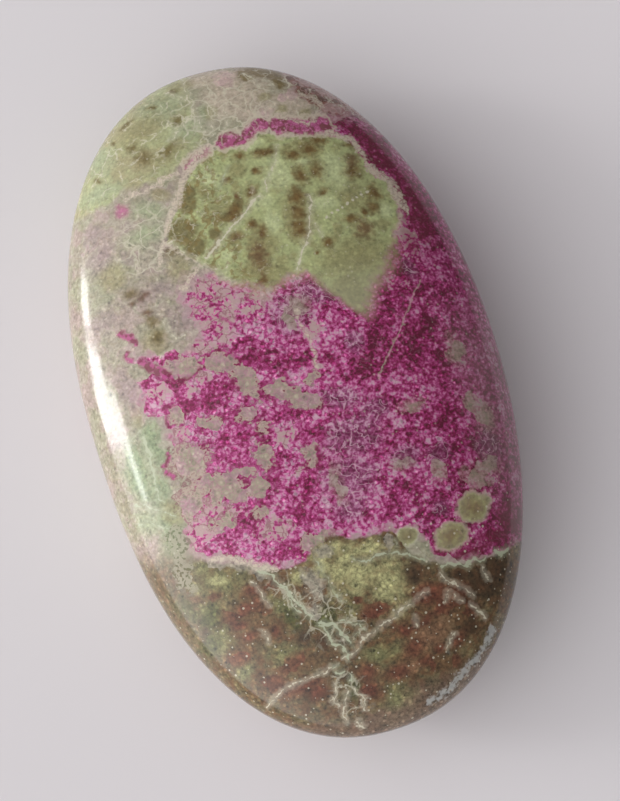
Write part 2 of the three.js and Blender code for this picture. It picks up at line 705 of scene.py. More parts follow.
RICH_PATCHES = patches(
    (0.8, 1.2, 4.2, 1.0, -14), (7.2, -1.6, 3.4, 1.4, -4), (-14.6, 4.5, 1.5, 0.7, -40),
    (-12.6, 3.0, 1.3, 0.7, -35), (-12.2, 1.6, 0.6, 0.9), (-9.9, -0.4, 2.6, 0.9, -8),
    (-7.9, -2.6, 1.2, 2.0, 15), (-9.2, -4.8, 1.5, 0.8), (-8.6, -6.9, 1.8, 0.8, 10), (-7.2, 0.6, 1.0, 1.3),
    (-3.2, 3.5, 2.0, 1.1, -25), (-1.0, 1.1, 2.6, 0.9, -10), (-5.9, -5.4, 1.9, 0.5, -20),
    (-1.6, -4.6, 1.4, 0.7, -40), (0.8, -7.2, 1.3, 0.8, -20), (-2.2, -12.3, 1.6, 1.6),
    (-3.2, -14.5, 0.8, 1.3), (-4.6, -10.3, 1.1, 0.9), (-9.4, -14.6, 1.7, 1.4),
    (-12.0, -15.1, 1.0, 0.7, 30), (-6.4, -18.3, 1.8, 0.7), (-7.0, 9.3, 0.7, 1.2), (-5.6, 9.6, 0.5, 0.9),
    (-8.2, 11.0, 0.8, 0.5), (-6.9, 7.7, 0.4, 0.7), (12.2, 5.3, 1.8, 1.5), (9.3, 1.3, 1.3, 1.8),
    (6.6, -2.4, 3.0, 1.1, -8), (3.4, -1.0, 1.2, 0.6), (7.3, -15.0, 2.0, 1.1), (8.8, -18.6, 1.0, 1.8),
    (5.6, -17.0, 1.6, 1.0), (9.8, -10.7, 1.0, 1.0), (5.6, -11.0, 0.7, 0.7), (13.3, -9.5, 1.8, 0.7),
    (15.6, -21.9, 2.6, 0.9, 25), (11.4, -23.3, 2.4, 0.5),
)
LEAN_PATCHES = patches(
    (13.8, 6.6, 1.3, 0.9), (15.9, 11.4, 1.1, 2.8), (-14.1, 2.0, 1.2, 1.0), (-9.3, 1.9, 0.9, 0.5, -20),
    (-10.9, 1.1, 0.6, 0.5), (-13.0, -3.0, 1.0, 0.9), (-6.8, 12.0, 1.8, 0.6), (-6.2, 9.0, 3.0, 3.2, 20),
    (3.2, 3.5, 1.2, 1.1), (2.6, 0.4, 0.7, 1.2), (-6.8, -15.6, 2.2, 1.2), (-2.4, -10.2, 1.0, 0.5),
    (-3.0, -6.6, 1.3, 1.0), (-14.0, -13.6, 2.0, 1.4), (-12.6, -11.2, 1.8, 0.9), (-5.8, 5.8, 1.0, 1.2),
    (-8.4, 5.2, 1.3, 0.8), (-1.5, 8.6, 2.0, 0.7, -8), (7.6, -21.6, 1.6, 0.5, -25),
    (-13.2, -8.4, 2.2, 1.2), (-11.4, -12.4, 3.4, 1.2, -10), (-2.2, 7.6, 1.6, 1.0),
)
LILAC_PATCHES = patches(
    (1.4, 6.0, 2.4, 2.4), (4.6, 7.4, 3.0, 1.4, -20), (7.0, 1.2, 1.1, 1.2), (3.4, -4.2, 3.2, 1.2, -15),
    (4.0, -8.6, 3.6, 2.6), (2.6, -12.6, 3.0, 2.4), (1.5, -15.8, 2.0, 1.4), (7.2, -6.2, 1.7, 0.9),
    (15.0, 7.5, 0.9, 1.4), (10.6, -18.2, 0.9, 0.9), (12.2, -12.6, 1.4, 1.1), (17.6, -13.0, 1.6, 1.8),
    (8.6, -12.0, 1.6, 1.2),
)
DARK_PATCHES = patches(
    (2.8, 0.4, 2.2, 0.5, -14), (8.6, -0.8, 2.4, 1.0, -6), (-3.3, -4.2, 0.9, 0.8),
    (-4.2, 2.4, 1.0, 0.4, -25), (-2.0, 1.2, 0.9, 0.5), (-0.7, -5.9, 0.4, 1.3, 15),
    (0.3, -10.2, 0.4, 0.9, -25), (1.0, -8.8, 0.6, 0.6), (-3.3, -15.5, 0.9, 0.6), (-8.4, -14.0, 0.5, 0.9),
    (-9.9, -13.5, 0.9, 0.4), (-6.7, -12.8, 0.3, 0.8, -15), (-8.9, -12.5, 0.3, 0.7), (9.0, 1.2, 0.9, 1.5),
    (7.2, -2.4, 2.0, 0.7, -5), (12.4, -1.0, 2.2, 1.9), (12.2, 3.3, 0.8, 0.6), (15.0, 1.2, 1.3, 1.0),
    (-4.3, -6.6, 0.8, 0.6), (-4.0, -8.8, 0.5, 0.5), (15.5, -12.0, 0.8, 1.6, 15), (13.0, -16.0, 0.8, 0.9),
    (15.4, -2.9, 1.0, 0.6), (-15.1, 8.1, 0.4, 0.4), (-15.3, 5.8, 0.4, 0.5), (2.9, 5.0, 0.6, 0.5),
    (9.2, -20.2, 0.7, 0.6), (18.2, 16.0, 1.6, 6.0, 12), (16.2, 22.0, 1.6, 3.0, 20),
    (18.0, -20.0, 1.6, 2.4, -20),
)
MAROON_PATCHES = patches(
    (16.2, 22.2, 1.8, 4.2, 15), (18.0, 15.0, 1.8, 6.0), (13.4, 26.0, 2.6, 0.8, -30),
    (17.0, 16.6, 1.0, 2.2), (16.4, 10.6, 0.8, 1.6), (13.4, -22.8, 4.6, 0.9, 10),
    (17.6, -20.8, 1.6, 1.8, 20), (8.8, -22.6, 2.0, 0.6, -20),
)
BEIGE_CLASTS = patches(
    (-10.4, -10.0, 1.7, 0.9, 10), (-7.4, -13.2, 0.8, 0.5), (-11.6, -13.4, 1.1, 0.6, 20),
    (1.6, -1.4, 0.7, 0.5), (-11.0, 3.6, 1.6, 1.0, -15), (-12.9, -0.9, 1.0, 0.6),
    (-10.0, -2.9, 1.1, 0.7, -10), (-6.9, 3.0, 1.6, 0.9, -30), (-5.2, 0.4, 0.9, 2.0, 15),
    (-5.8, -3.1, 1.0, 0.7), (-4.8, -4.8, 0.5, 0.6), (-2.2, -1.5, 1.2, 0.8), (-0.5, -2.9, 1.5, 0.9, -30),
    (0.9, -4.0, 0.9, 0.7), (-13.0, -6.0, 1.8, 1.6), (-11.4, -9.0, 1.7, 0.9), (-8.6, -8.8, 1.6, 0.6),
    (-5.5, -8.0, 0.9, 1.2), (-9.4, -10.8, 0.9, 0.9), (-7.1, -10.7, 1.0, 1.1), (-0.8, -9.4, 0.6, 1.2),
    (-14.4, -10.4, 1.0, 1.4), (-3.0, -18.0, 1.4, 0.8),
)
GREEN_CLASTS = patches(
    (14.0, -18.9, 1.9, 1.5, 10), (10.8, -21.3, 1.9, 1.3, 10), (6.3, -20.1, 1.1, 1.0),
)
GREY_CLASTS = patches(
    (15.4, -16.0, 1.8, 1.4, -20), (18.2, -9.8, 1.0, 1.8), (11.8, -14.0, 0.9, 0.7),
    (2.4, 6.6, 1.5, 1.2, 10), (17.3, -2.2, 1.0, 1.8), (17.2, -8.0, 0.8, 1.3), (11.0, -7.0, 1.5, 0.8),
    (1.2, 5.3, 0.7, 1.3, 20), (0.9, -13.0, 0.7, 2.2), (8.0, -12.6, 1.3, 0.8), (11.4, -14.8, 0.9, 0.9),
    (16.8, -15.0, 1.3, 1.1),
)

# The green lobe, with its browner side on the left.
GREEN_LOBE = Outline(
    (4.0, 16.0),
    (
        (16.2, 16.0), (16.1, 18.2), (14.8, 18.6), (14.6, 20.0), (13.8, 22.2), (13.3, 24.0), (11.4, 24.7),
        (10.2, 25.5), (7.4, 25.6), (5.8, 26.3), (4.6, 27.3), (3.6, 27.1), (2.4, 26.3), (1.2, 26.8),
        (-0.6, 26.7), (-2.4, 25.9), (-4.7, 24.3), (-5.7, 22.6), (-7.2, 20.6), (-8.8, 18.2), (-8.0, 16.6),
        (-6.4, 14.6), (-5.4, 13.6), (-3.6, 11.2), (-2.2, 10.2), (-0.2, 8.9), (2.2, 9.9), (4.4, 9.9),
        (5.6, 8.0), (7.6, 5.4), (8.6, 3.8), (9.7, 4.2), (11.0, 6.4), (13.0, 8.2), (14.2, 10.2),
        (15.0, 12.4), (16.0, 14.2),
    ),
)
LOBE_LAYERS = (
    Layer(Mineral.LOBE_OLIVE, 0.6, 0.8, patches=patches(
        (10.0, 10.2, 4.4, 2.4), (8.4, 6.8, 2.0, 2.4), (11.6, 17.2, 1.8, 2.2), (1.2, 14.4, 1.6, 2.2),
        (-2.4, 19.0, 2.0, 1.6), (1.0, 10.8, 2.2, 1.4), (5.6, 16.6, 1.8, 3.0), (-3.6, 22.4, 0.9, 1.2),
        (0.6, 23.4, 1.2, 1.0), (-1.6, 11.6, 1.2, 1.2),
    )),
    Layer(Mineral.LOBE_BRIGHT, 0.7, 0.8, patches=patches(
        (4.6, 21.6, 1.6, 2.2), (10.8, 20.6, 1.7, 2.4), (2.0, 19.4, 1.4, 1.2), (3.0, 26.0, 1.6, 0.7),
        (8.6, 17.2, 1.4, 1.0), (2.6, 16.5, 1.0, 1.6), (-3.2, 14.2, 0.9, 0.8), (7.6, 22.3, 1.0, 0.5),
        (14.8, 14.8, 0.8, 1.0), (-2.6, 23.4, 1.2, 1.2),
    )),
    Layer(Mineral.LOBE_SHADE, 0.4, 0.85, patches=patches(
        (-6.8, 18.2, 1.8, 1.7), (-6.2, 16.0, 1.3, 1.3), (-5.6, 21.2, 1.2, 1.2), (-3.6, 16.9, 0.8, 0.8),
        (-1.9, 18.3, 1.3, 0.7), (-5.0, 22.6, 0.7, 0.8), (-0.4, 19.6, 0.7, 1.2, -30),
    )),
    Layer(Mineral.LOBE_BROWN, 1.0, 0.95, grainy=True, grow=1.3, patches=patches(
        (1.3, 25.0, 0.7, 0.5), (3.9, 24.6, 1.3, 0.5), (2.6, 22.7, 0.5, 0.4), (6.9, 23.6, 0.8, 0.8),
        (8.8, 23.8, 1.1, 1.0), (10.0, 24.6, 1.0, 0.7), (7.0, 21.0, 0.7, 1.1), (8.8, 21.0, 0.7, 1.0),
        (6.0, 18.6, 0.8, 1.1), (5.4, 16.6, 0.8, 0.9), (5.0, 14.8, 0.9, 1.2), (12.7, 20.0, 1.0, 0.8),
        (14.1, 17.0, 0.7, 1.1), (13.4, 15.4, 0.6, 0.7), (10.8, 14.5, 0.7, 0.5), (12.4, 15.1, 0.4, 0.5),
        (8.7, 18.4, 0.5, 0.25, 30), (1.4, 20.4, 0.7, 0.7), (0.4, 16.7, 0.5, 0.6), (6.1, 11.8, 0.25, 0.25),
        (-0.2, 10.2, 0.6, 0.5), (13.2, 23.4, 0.6, 0.4), (-1.2, 18.6, 0.6, 0.9, -30),
        (-0.8, 22.6, 0.5, 0.4), (1.2, 15.6, 0.5, 0.9), (7.6, 12.6, 0.7, 0.5),
    )),
    Layer(Mineral.LOBE_RUST, 0.9, 0.8, grainy=True, grow=1.18, patches=patches(
        (13.0, 21.4, 0.8, 0.9), (11.8, 13.2, 1.0, 1.1), (0.0, 13.0, 1.0, 2.0), (-1.6, 16.0, 0.8, 0.6),
        (-0.3, 20.6, 0.3, 0.5),
    )),
)

# The darker foot of the stone, below the field.
FOOT_EDGE = (
    (-23.0, -12.6), (-19.0, -14.6), (-16.0, -15.4), (-14.0, -16.6), (-12.0, -17.4), (-10.0, -18.3),
    (-8.2, -19.4), (-6.0, -20.0), (-4.2, -19.4), (-2.6, -18.0), (-0.6, -18.0), (0.6, -18.9), (3.0, -19.0),
    (5.0, -19.0), (6.0, -21.6), (7.6, -23.1), (9.6, -23.9), (11.4, -24.5), (13.2, -24.2), (15.6, -24.2),
    (18.0, -23.2), (23.0, -22.0),
)
FOOT_BASE_EDGE = (
    (-20.0, -32.0), (-14.0, -33.0), (-9.0, -35.4), (-4.0, -36.4), (2.0, -34.9), (6.0, -34.8),
    (12.0, -33.0),
)
FOOT_GREEN_LAYERS = (
    Layer(Mineral.LOW_GREEN, 0.9, 0.85, grow=1.18, patches=patches(
        (-13.6, -19.0, 3.0, 1.3, -12), (-15.3, -17.0, 1.1, 1.0), (-15.6, -21.4, 1.4, 1.3),
        (-15.2, -24.8, 1.3, 1.3), (-8.6, -23.0, 0.8, 1.4, 20), (-9.4, -28.0, 1.4, 0.9),
        (-13.8, -28.4, 1.0, 0.9), (0.2, -30.8, 1.8, 1.0), (0.4, -35.2, 1.8, 1.0), (-1.2, -25.6, 0.8, 1.0),
    )),
    Layer(Mineral.YELLOW_GREEN, 0.8, 0.95, grow=1.11, patches=patches(
        (-13.7, -18.8, 1.1, 0.4, -12), (0.3, -22.6, 3.0, 1.9), (3.0, -24.4, 1.8, 3.0),
        (-5.8, -21.0, 1.0, 0.8), (2.0, -20.2, 2.2, 0.9), (-0.6, -20.6, 1.4, 0.8), (-1.8, -19.5, 2.6, 1.0),
        (-3.2, -20.8, 1.0, 1.0), (-1.6, -22.2, 1.2, 1.6),
    )),
)
FOOT_BROWN_PATCHES = patches(
    (-11.6, -22.8, 2.4, 1.5), (-13.4, -26.6, 1.5, 0.9), (-10.6, -25.4, 1.8, 0.9), (-9.6, -21.0, 1.5, 1.0),
    (-8.2, -21.6, 0.7, 0.7), (1.1, -26.4, 1.7, 0.8), (-0.6, -24.9, 0.6, 0.4), (-7.6, -29.4, 2.4, 0.9),
    (-11.6, -30.4, 1.4, 0.8), (3.4, -28.8, 1.4, 0.9, 25), (7.0, -27.0, 2.2, 1.4),
    (-14.6, -20.2, 1.0, 0.4), (-1.8, -34.6, 1.2, 1.2), (6.4, -33.4, 1.6, 0.8), (9.6, -28.6, 1.6, 1.4),
)
FOOT_DARK_LAYERS = (
    Layer(Mineral.LOW_TAN, 0.7, 0.8, patches=patches(
        (6.0, -30.2, 2.6, 1.7, 20), (9.0, -27.0, 1.2, 0.9), (2.6, -33.0, 1.6, 0.8),
    )),
    Layer(Mineral.LOW_MOSS, 0.7, 0.9, grainy=True, patches=patches(
        (-15.6, -22.2, 1.7, 1.6), (-16.4, -24.6, 1.2, 1.6, -30), (-4.4, -25.8, 1.7, 1.5),
        (-17.6, -20.4, 0.8, 2.4, 15), (-7.6, -24.6, 0.9, 1.6, 20), (-3.4, -33.4, 1.0, 1.4),
    )),
    Layer(Mineral.DARK_BROWN, 0.8, 0.8, patches=patches(
        (12.6, -26.6, 4.2, 2.4), (10.6, -25.4, 1.8, 1.2), (15.0, -25.4, 1.8, 1.6), (6.0, -24.0, 1.4, 1.2),
        (10.2, -30.6, 1.6, 0.9), (-3.9, -31.9, 0.9, 0.6), (-7.2, -32.6, 1.8, 0.9),
        (-5.0, -28.0, 0.9, 1.4), (-3.4, -28.4, 0.5, 1.0, 25), (-16.5, -23.2, 0.4, 0.7, -30),
        (-6.8, -27.0, 1.0, 1.0),
    )),
    Layer(Mineral.LOW_RED, 0.8, 0.85, grainy=True, grow=1.33, patches=patches(
        (-10.7, -20.8, 0.9, 0.6, -10), (-12.9, -23.9, 0.8, 0.4), (-11.8, -22.3, 0.7, 0.5),
        (-12.2, -25.2, 0.8, 0.4), (-9.4, -25.5, 0.5, 0.5), (-8.4, -31.6, 2.2, 0.6, 5),
        (-7.0, -32.6, 0.9, 0.7), (3.7, -31.2, 1.1, 0.8, 25), (1.4, -33.0, 1.1, 0.6),
        (-1.6, -32.2, 0.9, 0.8), (5.8, -28.8, 1.0, 0.4, 25), (7.3, -28.2, 0.8, 0.4, 30),
        (6.8, -26.4, 1.2, 0.9), (8.4, -31.5, 1.0, 0.5, 30), (4.6, -32.6, 0.9, 0.5),
        (0.8, -26.6, 0.9, 0.35, 10), (3.2, -29.2, 0.6, 0.5), (10.2, -26.6, 0.8, 0.5),
        (6.3, -31.9, 0.6, 0.5), (-2.0, -34.0, 0.7, 0.6),
    )),
)
FOOT_PALE_PATCHES = patches(
    (-4.4, -22.2, 1.2, 1.9, 10), (-13.2, -16.9, 1.2, 0.6, -15), (-11.4, -17.9, 1.6, 0.5, -30),
    (-9.6, -19.0, 1.0, 0.6, -40), (4.2, -20.1, 0.7, 0.8), (-2.4, -19.2, 1.0, 0.8),
    (-5.2, -24.8, 0.8, 1.0, -30),
)
POROUS_PATCHES = patches(
    (-16.9, -16.4, 0.9, 2.6, 5), (-16.6, -13.6, 1.2, 1.8),
)

# The veins and nets, and the painted reflection of the floor along the rim.
FINE_NET_PATCHES = patches(
    (-4.4, -25.4, 2.4, 3.4, 20), (-1.8, -27.2, 1.6, 1.6), (-4.2, -33.6, 2.0, 2.4),
    (-7.2, -22.0, 1.2, 2.6, 30), (1.0, 31.0, 5.0, 4.4), (-10.6, 18.6, 3.4, 4.6, -30),
)
CREAM_VEINS = veins(
    (0.22, (-1.9, 38.0), (-2.0, 36.0), (-2.2, 34.2), (-2.1, 33.0), (-1.9, 31.5), (-1.7, 30.0),
     (-1.3, 28.4)),
    (0.20, (-4.4, 36.0), (-3.0, 34.6), (-2.2, 33.4)),
    (0.20, (-2.1, 31.5), (-2.9, 31.0), (-4.1, 30.2), (-4.7, 29.3), (-5.8, 29.1)),
    (0.20, (-0.4, 33.0), (0.1, 31.6), (-0.1, 30.3), (-0.6, 29.2), (-0.9, 28.0)),
    (0.20, (0.1, 31.4), (0.5, 30.6), (1.5, 29.9)),
    (0.18, (1.7, 32.4), (1.3, 31.2), (1.5, 30.0), (0.9, 29.0), (0.4, 28.3)),
    (0.25, (4.2, 35.8), (5.3, 34.6), (5.8, 33.6), (6.0, 32.6)),
    (0.22, (6.9, 34.2), (7.3, 33.2), (7.7, 32.2)),
    (0.22, (9.0, 34.0), (9.2, 33.0), (8.9, 32.2), (7.9, 32.1)),
    (0.18, (-8.7, 18.0), (-8.0, 16.8), (-7.0, 15.6), (-6.2, 14.6), (-5.5, 13.7), (-4.4, 12.7),
     (-3.4, 10.9)),
    (0.38, (-5.7, 14.1), (-4.2, 15.4), (-2.6, 16.6), (-1.2, 17.4), (0.3, 18.5), (1.6, 19.5), (2.7, 19.7)),
    (0.20, (2.7, 19.7), (3.2, 21.2), (4.0, 22.0), (4.6, 22.9), (5.2, 24.2), (5.9, 25.4)),
    (0.30, (7.1, 19.0), (7.2, 17.8), (6.9, 16.4), (6.3, 15.3), (6.0, 14.2), (5.3, 13.2), (4.6, 12.3),
     (3.3, 10.1)),
    (0.16, (6.8, 15.4), (7.0, 14.2), (7.2, 13.1)),
    (0.16, (-3.1, 13.6), (-3.6, 12.9), (-4.0, 12.0)),
    (0.16, (1.4, 20.0), (1.9, 21.2)),
    (0.20, (-13.3, 5.2), (-12.3, 5.9), (-11.2, 6.2)),
    (0.18, (-11.9, 9.6), (-11.4, 8.2), (-10.8, 6.8), (-9.6, 7.3), (-8.0, 6.8)),
    (0.19, (-13.0, -32.4), (-11.4, -31.9), (-10.6, -31.3), (-8.0, -31.0), (-5.3, -30.7), (-4.0, -30.3)),
    (0.20, (-4.0, -30.3), (-2.6, -30.0), (-1.0, -28.9), (0.2, -28.4), (2.0, -27.8), (4.0, -27.0),
     (7.2, -25.9)),
    (0.20, (-10.6, -19.5), (-10.0, -20.5), (-9.7, -22.0), (-9.3, -23.3)),
    (0.15, (-11.1, -24.5), (-10.5, -25.8), (-10.3, -26.9)),
    (0.26, (8.2, -24.0), (8.8, -25.2), (9.5, -26.0), (10.5, -26.6), (11.0, -27.3), (11.5, -28.0)),
    (0.20, (9.4, -26.2), (8.5, -26.9), (8.0, -27.8)),
    (0.20, (9.0, -26.7), (9.5, -27.5), (10.3, -28.1)),
    (0.34, (10.4, -27.8), (11.0, -28.8), (11.7, -29.8), (12.0, -30.6)),
    (0.18, (13.0, -24.6), (13.1, -25.8), (13.6, -26.9)),
    (0.16, (4.7, -27.6), (4.6, -28.6), (4.7, -29.6)),
    (0.20, (6.7, -32.6), (7.2, -31.8), (8.0, -31.0), (8.7, -30.6)),
    (0.20, (-3.7, -32.8), (-3.1, -33.9), (-2.6, -34.8), (-2.9, -35.6), (-2.4, -36.0)),
    (0.22, (-4.0, -32.9), (-4.5, -34.0), (-4.9, -35.1), (-5.1, -36.0), (-4.9, -36.8)),
    (0.20, (-5.1, -31.8), (-5.1, -33.0), (-5.6, -33.8), (-5.2, -34.6), (-4.9, -35.0)),
    (0.18, (-5.3, -33.4), (-6.4, -33.9)),
    (0.24, (-4.0, -35.8), (-3.8, -36.8), (-3.0, -37.5)),
)
MINT_VEINS = veins(
    (0.42, (-9.5, -18.8), (-8.2, -20.3), (-7.3, -21.8), (-6.5, -23.2), (-6.0, -24.6), (-5.2, -25.8)),
    (0.34, (-5.2, -25.8), (-4.5, -27.0), (-4.2, -28.2), (-3.5, -29.0), (-3.1, -30.1), (-3.1, -30.9)),
    (0.24, (-8.5, -20.3), (-7.9, -21.2), (-7.1, -22.6), (-6.9, -24.0), (-6.3, -25.0)),
    (0.20, (-3.5, -19.4), (-3.1, -21.2), (-2.6, -23.2), (-2.1, -24.9)),
    (0.46, (-5.2, -25.6), (-4.2, -26.5), (-3.3, -26.9), (-2.9, -28.0), (-2.4, -28.7), (-2.2, -29.6)),
    (0.26, (-3.2, -26.1), (-2.2, -26.7), (-1.4, -27.2), (-0.7, -27.8), (-0.4, -28.4)),
    (0.20, (-2.3, -28.3), (-1.5, -28.0), (-1.0, -28.7)),
    (0.30, (-4.0, -30.4), (-5.1, -30.9)),
    (0.30, (-5.1, -30.9), (-4.4, -31.5), (-3.5, -31.5)),
    (0.36, (-3.5, -31.4), (-3.4, -32.3), (-3.8, -32.9)),
    (0.22, (0.0, 24.6), (-0.7, 23.4), (-1.5, 22.4), (-2.2, 21.4)),
    (0.25, (-20.4, -8.2), (-18.9, -8.6), (-17.9, -9.7), (-16.7, -10.3), (-15.6, -11.4)),
    (0.25, (-20.2, -10.3), (-18.9, -10.5), (-17.9, -11.5), (-16.8, -12.1)),
    (0.35, (-17.1, -1.2), (-16.9, -4.0), (-17.2, -7.0), (-17.1, -9.6)),
    (0.20, (-19.4, -1.7), (-18.0, -1.5), (-16.6, -0.9)),
    (0.34, (-0.2, -20.6), (1.4, -21.5), (2.8, -21.1), (4.2, -21.4), (5.8, -21.8), (6.7, -22.7),
     (7.9, -23.3)),
    (0.40, (8.2, -24.0), (9.6, -23.8), (10.6, -24.2), (11.4, -24.6), (12.3, -24.0), (13.2, -24.5),
     (14.2, -23.9)),
    (0.70, (14.2, -23.7), (15.4, -24.2), (17.0, -23.6)),
    (0.20, (4.9, -19.6), (5.1, -20.5), (5.0, -21.4)),
)
ROSE_CREAM_VEINS = veins(
    (0.62, (-1.0, 27.7), (-2.9, 26.4), (-4.7, 24.7), (-5.8, 22.9), (-7.4, 20.8), (-8.9, 18.3)),
    (0.45, (-8.9, 18.3), (-9.8, 16.6), (-10.6, 15.0)),
    (0.45, (-4.9, 24.9), (-6.9, 25.1), (-8.2, 24.5), (-9.6, 24.1), (-11.0, 24.4), (-12.2, 23.9)),
    (0.55, (-6.0, 14.0), (-7.6, 12.9), (-9.0, 11.6)),
    (0.30, (4.5, 32.6), (4.9, 31.4), (5.2, 30.3), (6.2, 29.9)),
    (0.30, (9.7, 31.7), (10.2, 30.8), (11.1, 30.4), (11.5, 29.2), (12.1, 28.3)),
    (0.30, (6.2, 29.0), (7.2, 28.4), (8.4, 27.5), (9.6, 26.8), (10.6, 27.5), (11.1, 28.6)),
    (0.60, (-14.4, -16.4), (-12.0, -17.0), (-10.0, -18.2), (-8.4, -19.2), (-7.2, -20.0)),
    (0.16, (2.3, 6.8), (2.2, 4.0), (2.7, 2.0), (2.5, -1.0)),
    (0.80, (17.2, 13.6), (16.6, 16.0), (16.2, 18.2), (14.9, 19.6), (14.5, 21.2)),
    (0.60, (14.5, 21.2), (14.0, 22.8), (13.5, 24.0), (12.0, 25.0), (10.6, 25.7)),
)
ARC_VEINS = veins(
    (1.5, (-1.2, 27.0), (0.6, 27.3), (2.2, 26.8), (3.0, 27.4), (4.2, 28.2), (5.0, 28.0), (6.0, 27.4)),
    (2.0, (4.8, 27.9), (6.4, 27.4), (7.6, 27.2), (8.6, 26.7), (9.6, 26.6), (11.0, 26.4), (12.6, 25.8)),
    (0.6, (-5.0, 25.0), (-3.6, 26.0), (-2.6, 26.4), (-1.2, 27.2)),
)
ROSE_VEINS = veins(
    (0.90, (-15.4, 6.4), (-14.4, 5.0), (-13.4, 4.0), (-12.0, 2.8)),
    (0.60, (-16.9, 10.2), (-16.0, 9.4), (-15.5, 8.8), (-15.0, 8.0), (-14.6, 7.4)),
    (0.40, (-16.2, 7.7), (-16.3, 6.7), (-15.6, 5.8)),
    (0.34, (-14.6, -4.0), (-15.2, -4.8), (-15.6, -5.6), (-16.1, -6.1)),
    (0.40, (-16.1, -5.9), (-15.5, -6.6), (-15.1, -7.1), (-14.9, -7.7)),
    (0.26, (-6.6, 4.5), (-5.9, 3.6), (-5.2, 3.0), (-4.4, 2.3), (-3.6, 1.4), (-2.6, 0.6)),
    (0.24, (-11.9, 3.6), (-11.5, 2.6), (-10.9, 2.4), (-10.2, 2.4), (-9.5, 3.0), (-8.8, 3.1)),
    (0.20, (-7.6, 4.2), (-6.6, 4.6), (-5.8, 5.0)),
    (0.28, (-5.9, 8.0), (-5.2, 7.3), (-4.6, 6.6), (-4.3, 5.6)),
    (0.24, (-7.3, 1.7), (-6.7, 1.0), (-6.2, 0.3), (-6.0, -0.8)),
    (0.22, (-14.3, -0.3), (-14.1, -1.2), (-14.0, -2.3)),
    (0.30, (-15.9, 0.7), (-14.6, 0.2), (-13.4, 0.2), (-12.0, 0.4)),
    (0.40, (-0.1, -8.0), (0.1, -9.3), (-0.2, -10.4), (-0.6, -11.6)),
    (0.30, (-3.8, -3.0), (-4.3, -3.8), (-5.0, -3.9), (-5.8, -4.1)),
)
STRAIGHT_SEAM = veins((0.14, (16.2, 6.4), (8.0, -3.7)))
# A pale band along the lower-right rim: a painted reflection of the floor.
RIM_REFLECTION_BAND = veins((0.5, (3.2, -36.9), (6.2, -35.9), (9.1, -34.2), (11.3, -32.5), (12.9, -30.7)))
DOT_CHAIN = tuple(Patch(8.3 + 0.64 * step, 15.4 + 0.24 * step, 0.14, 0.14) for step in range(9))


# ---- Reading the map in a shader -------------------------------------------------------------------------


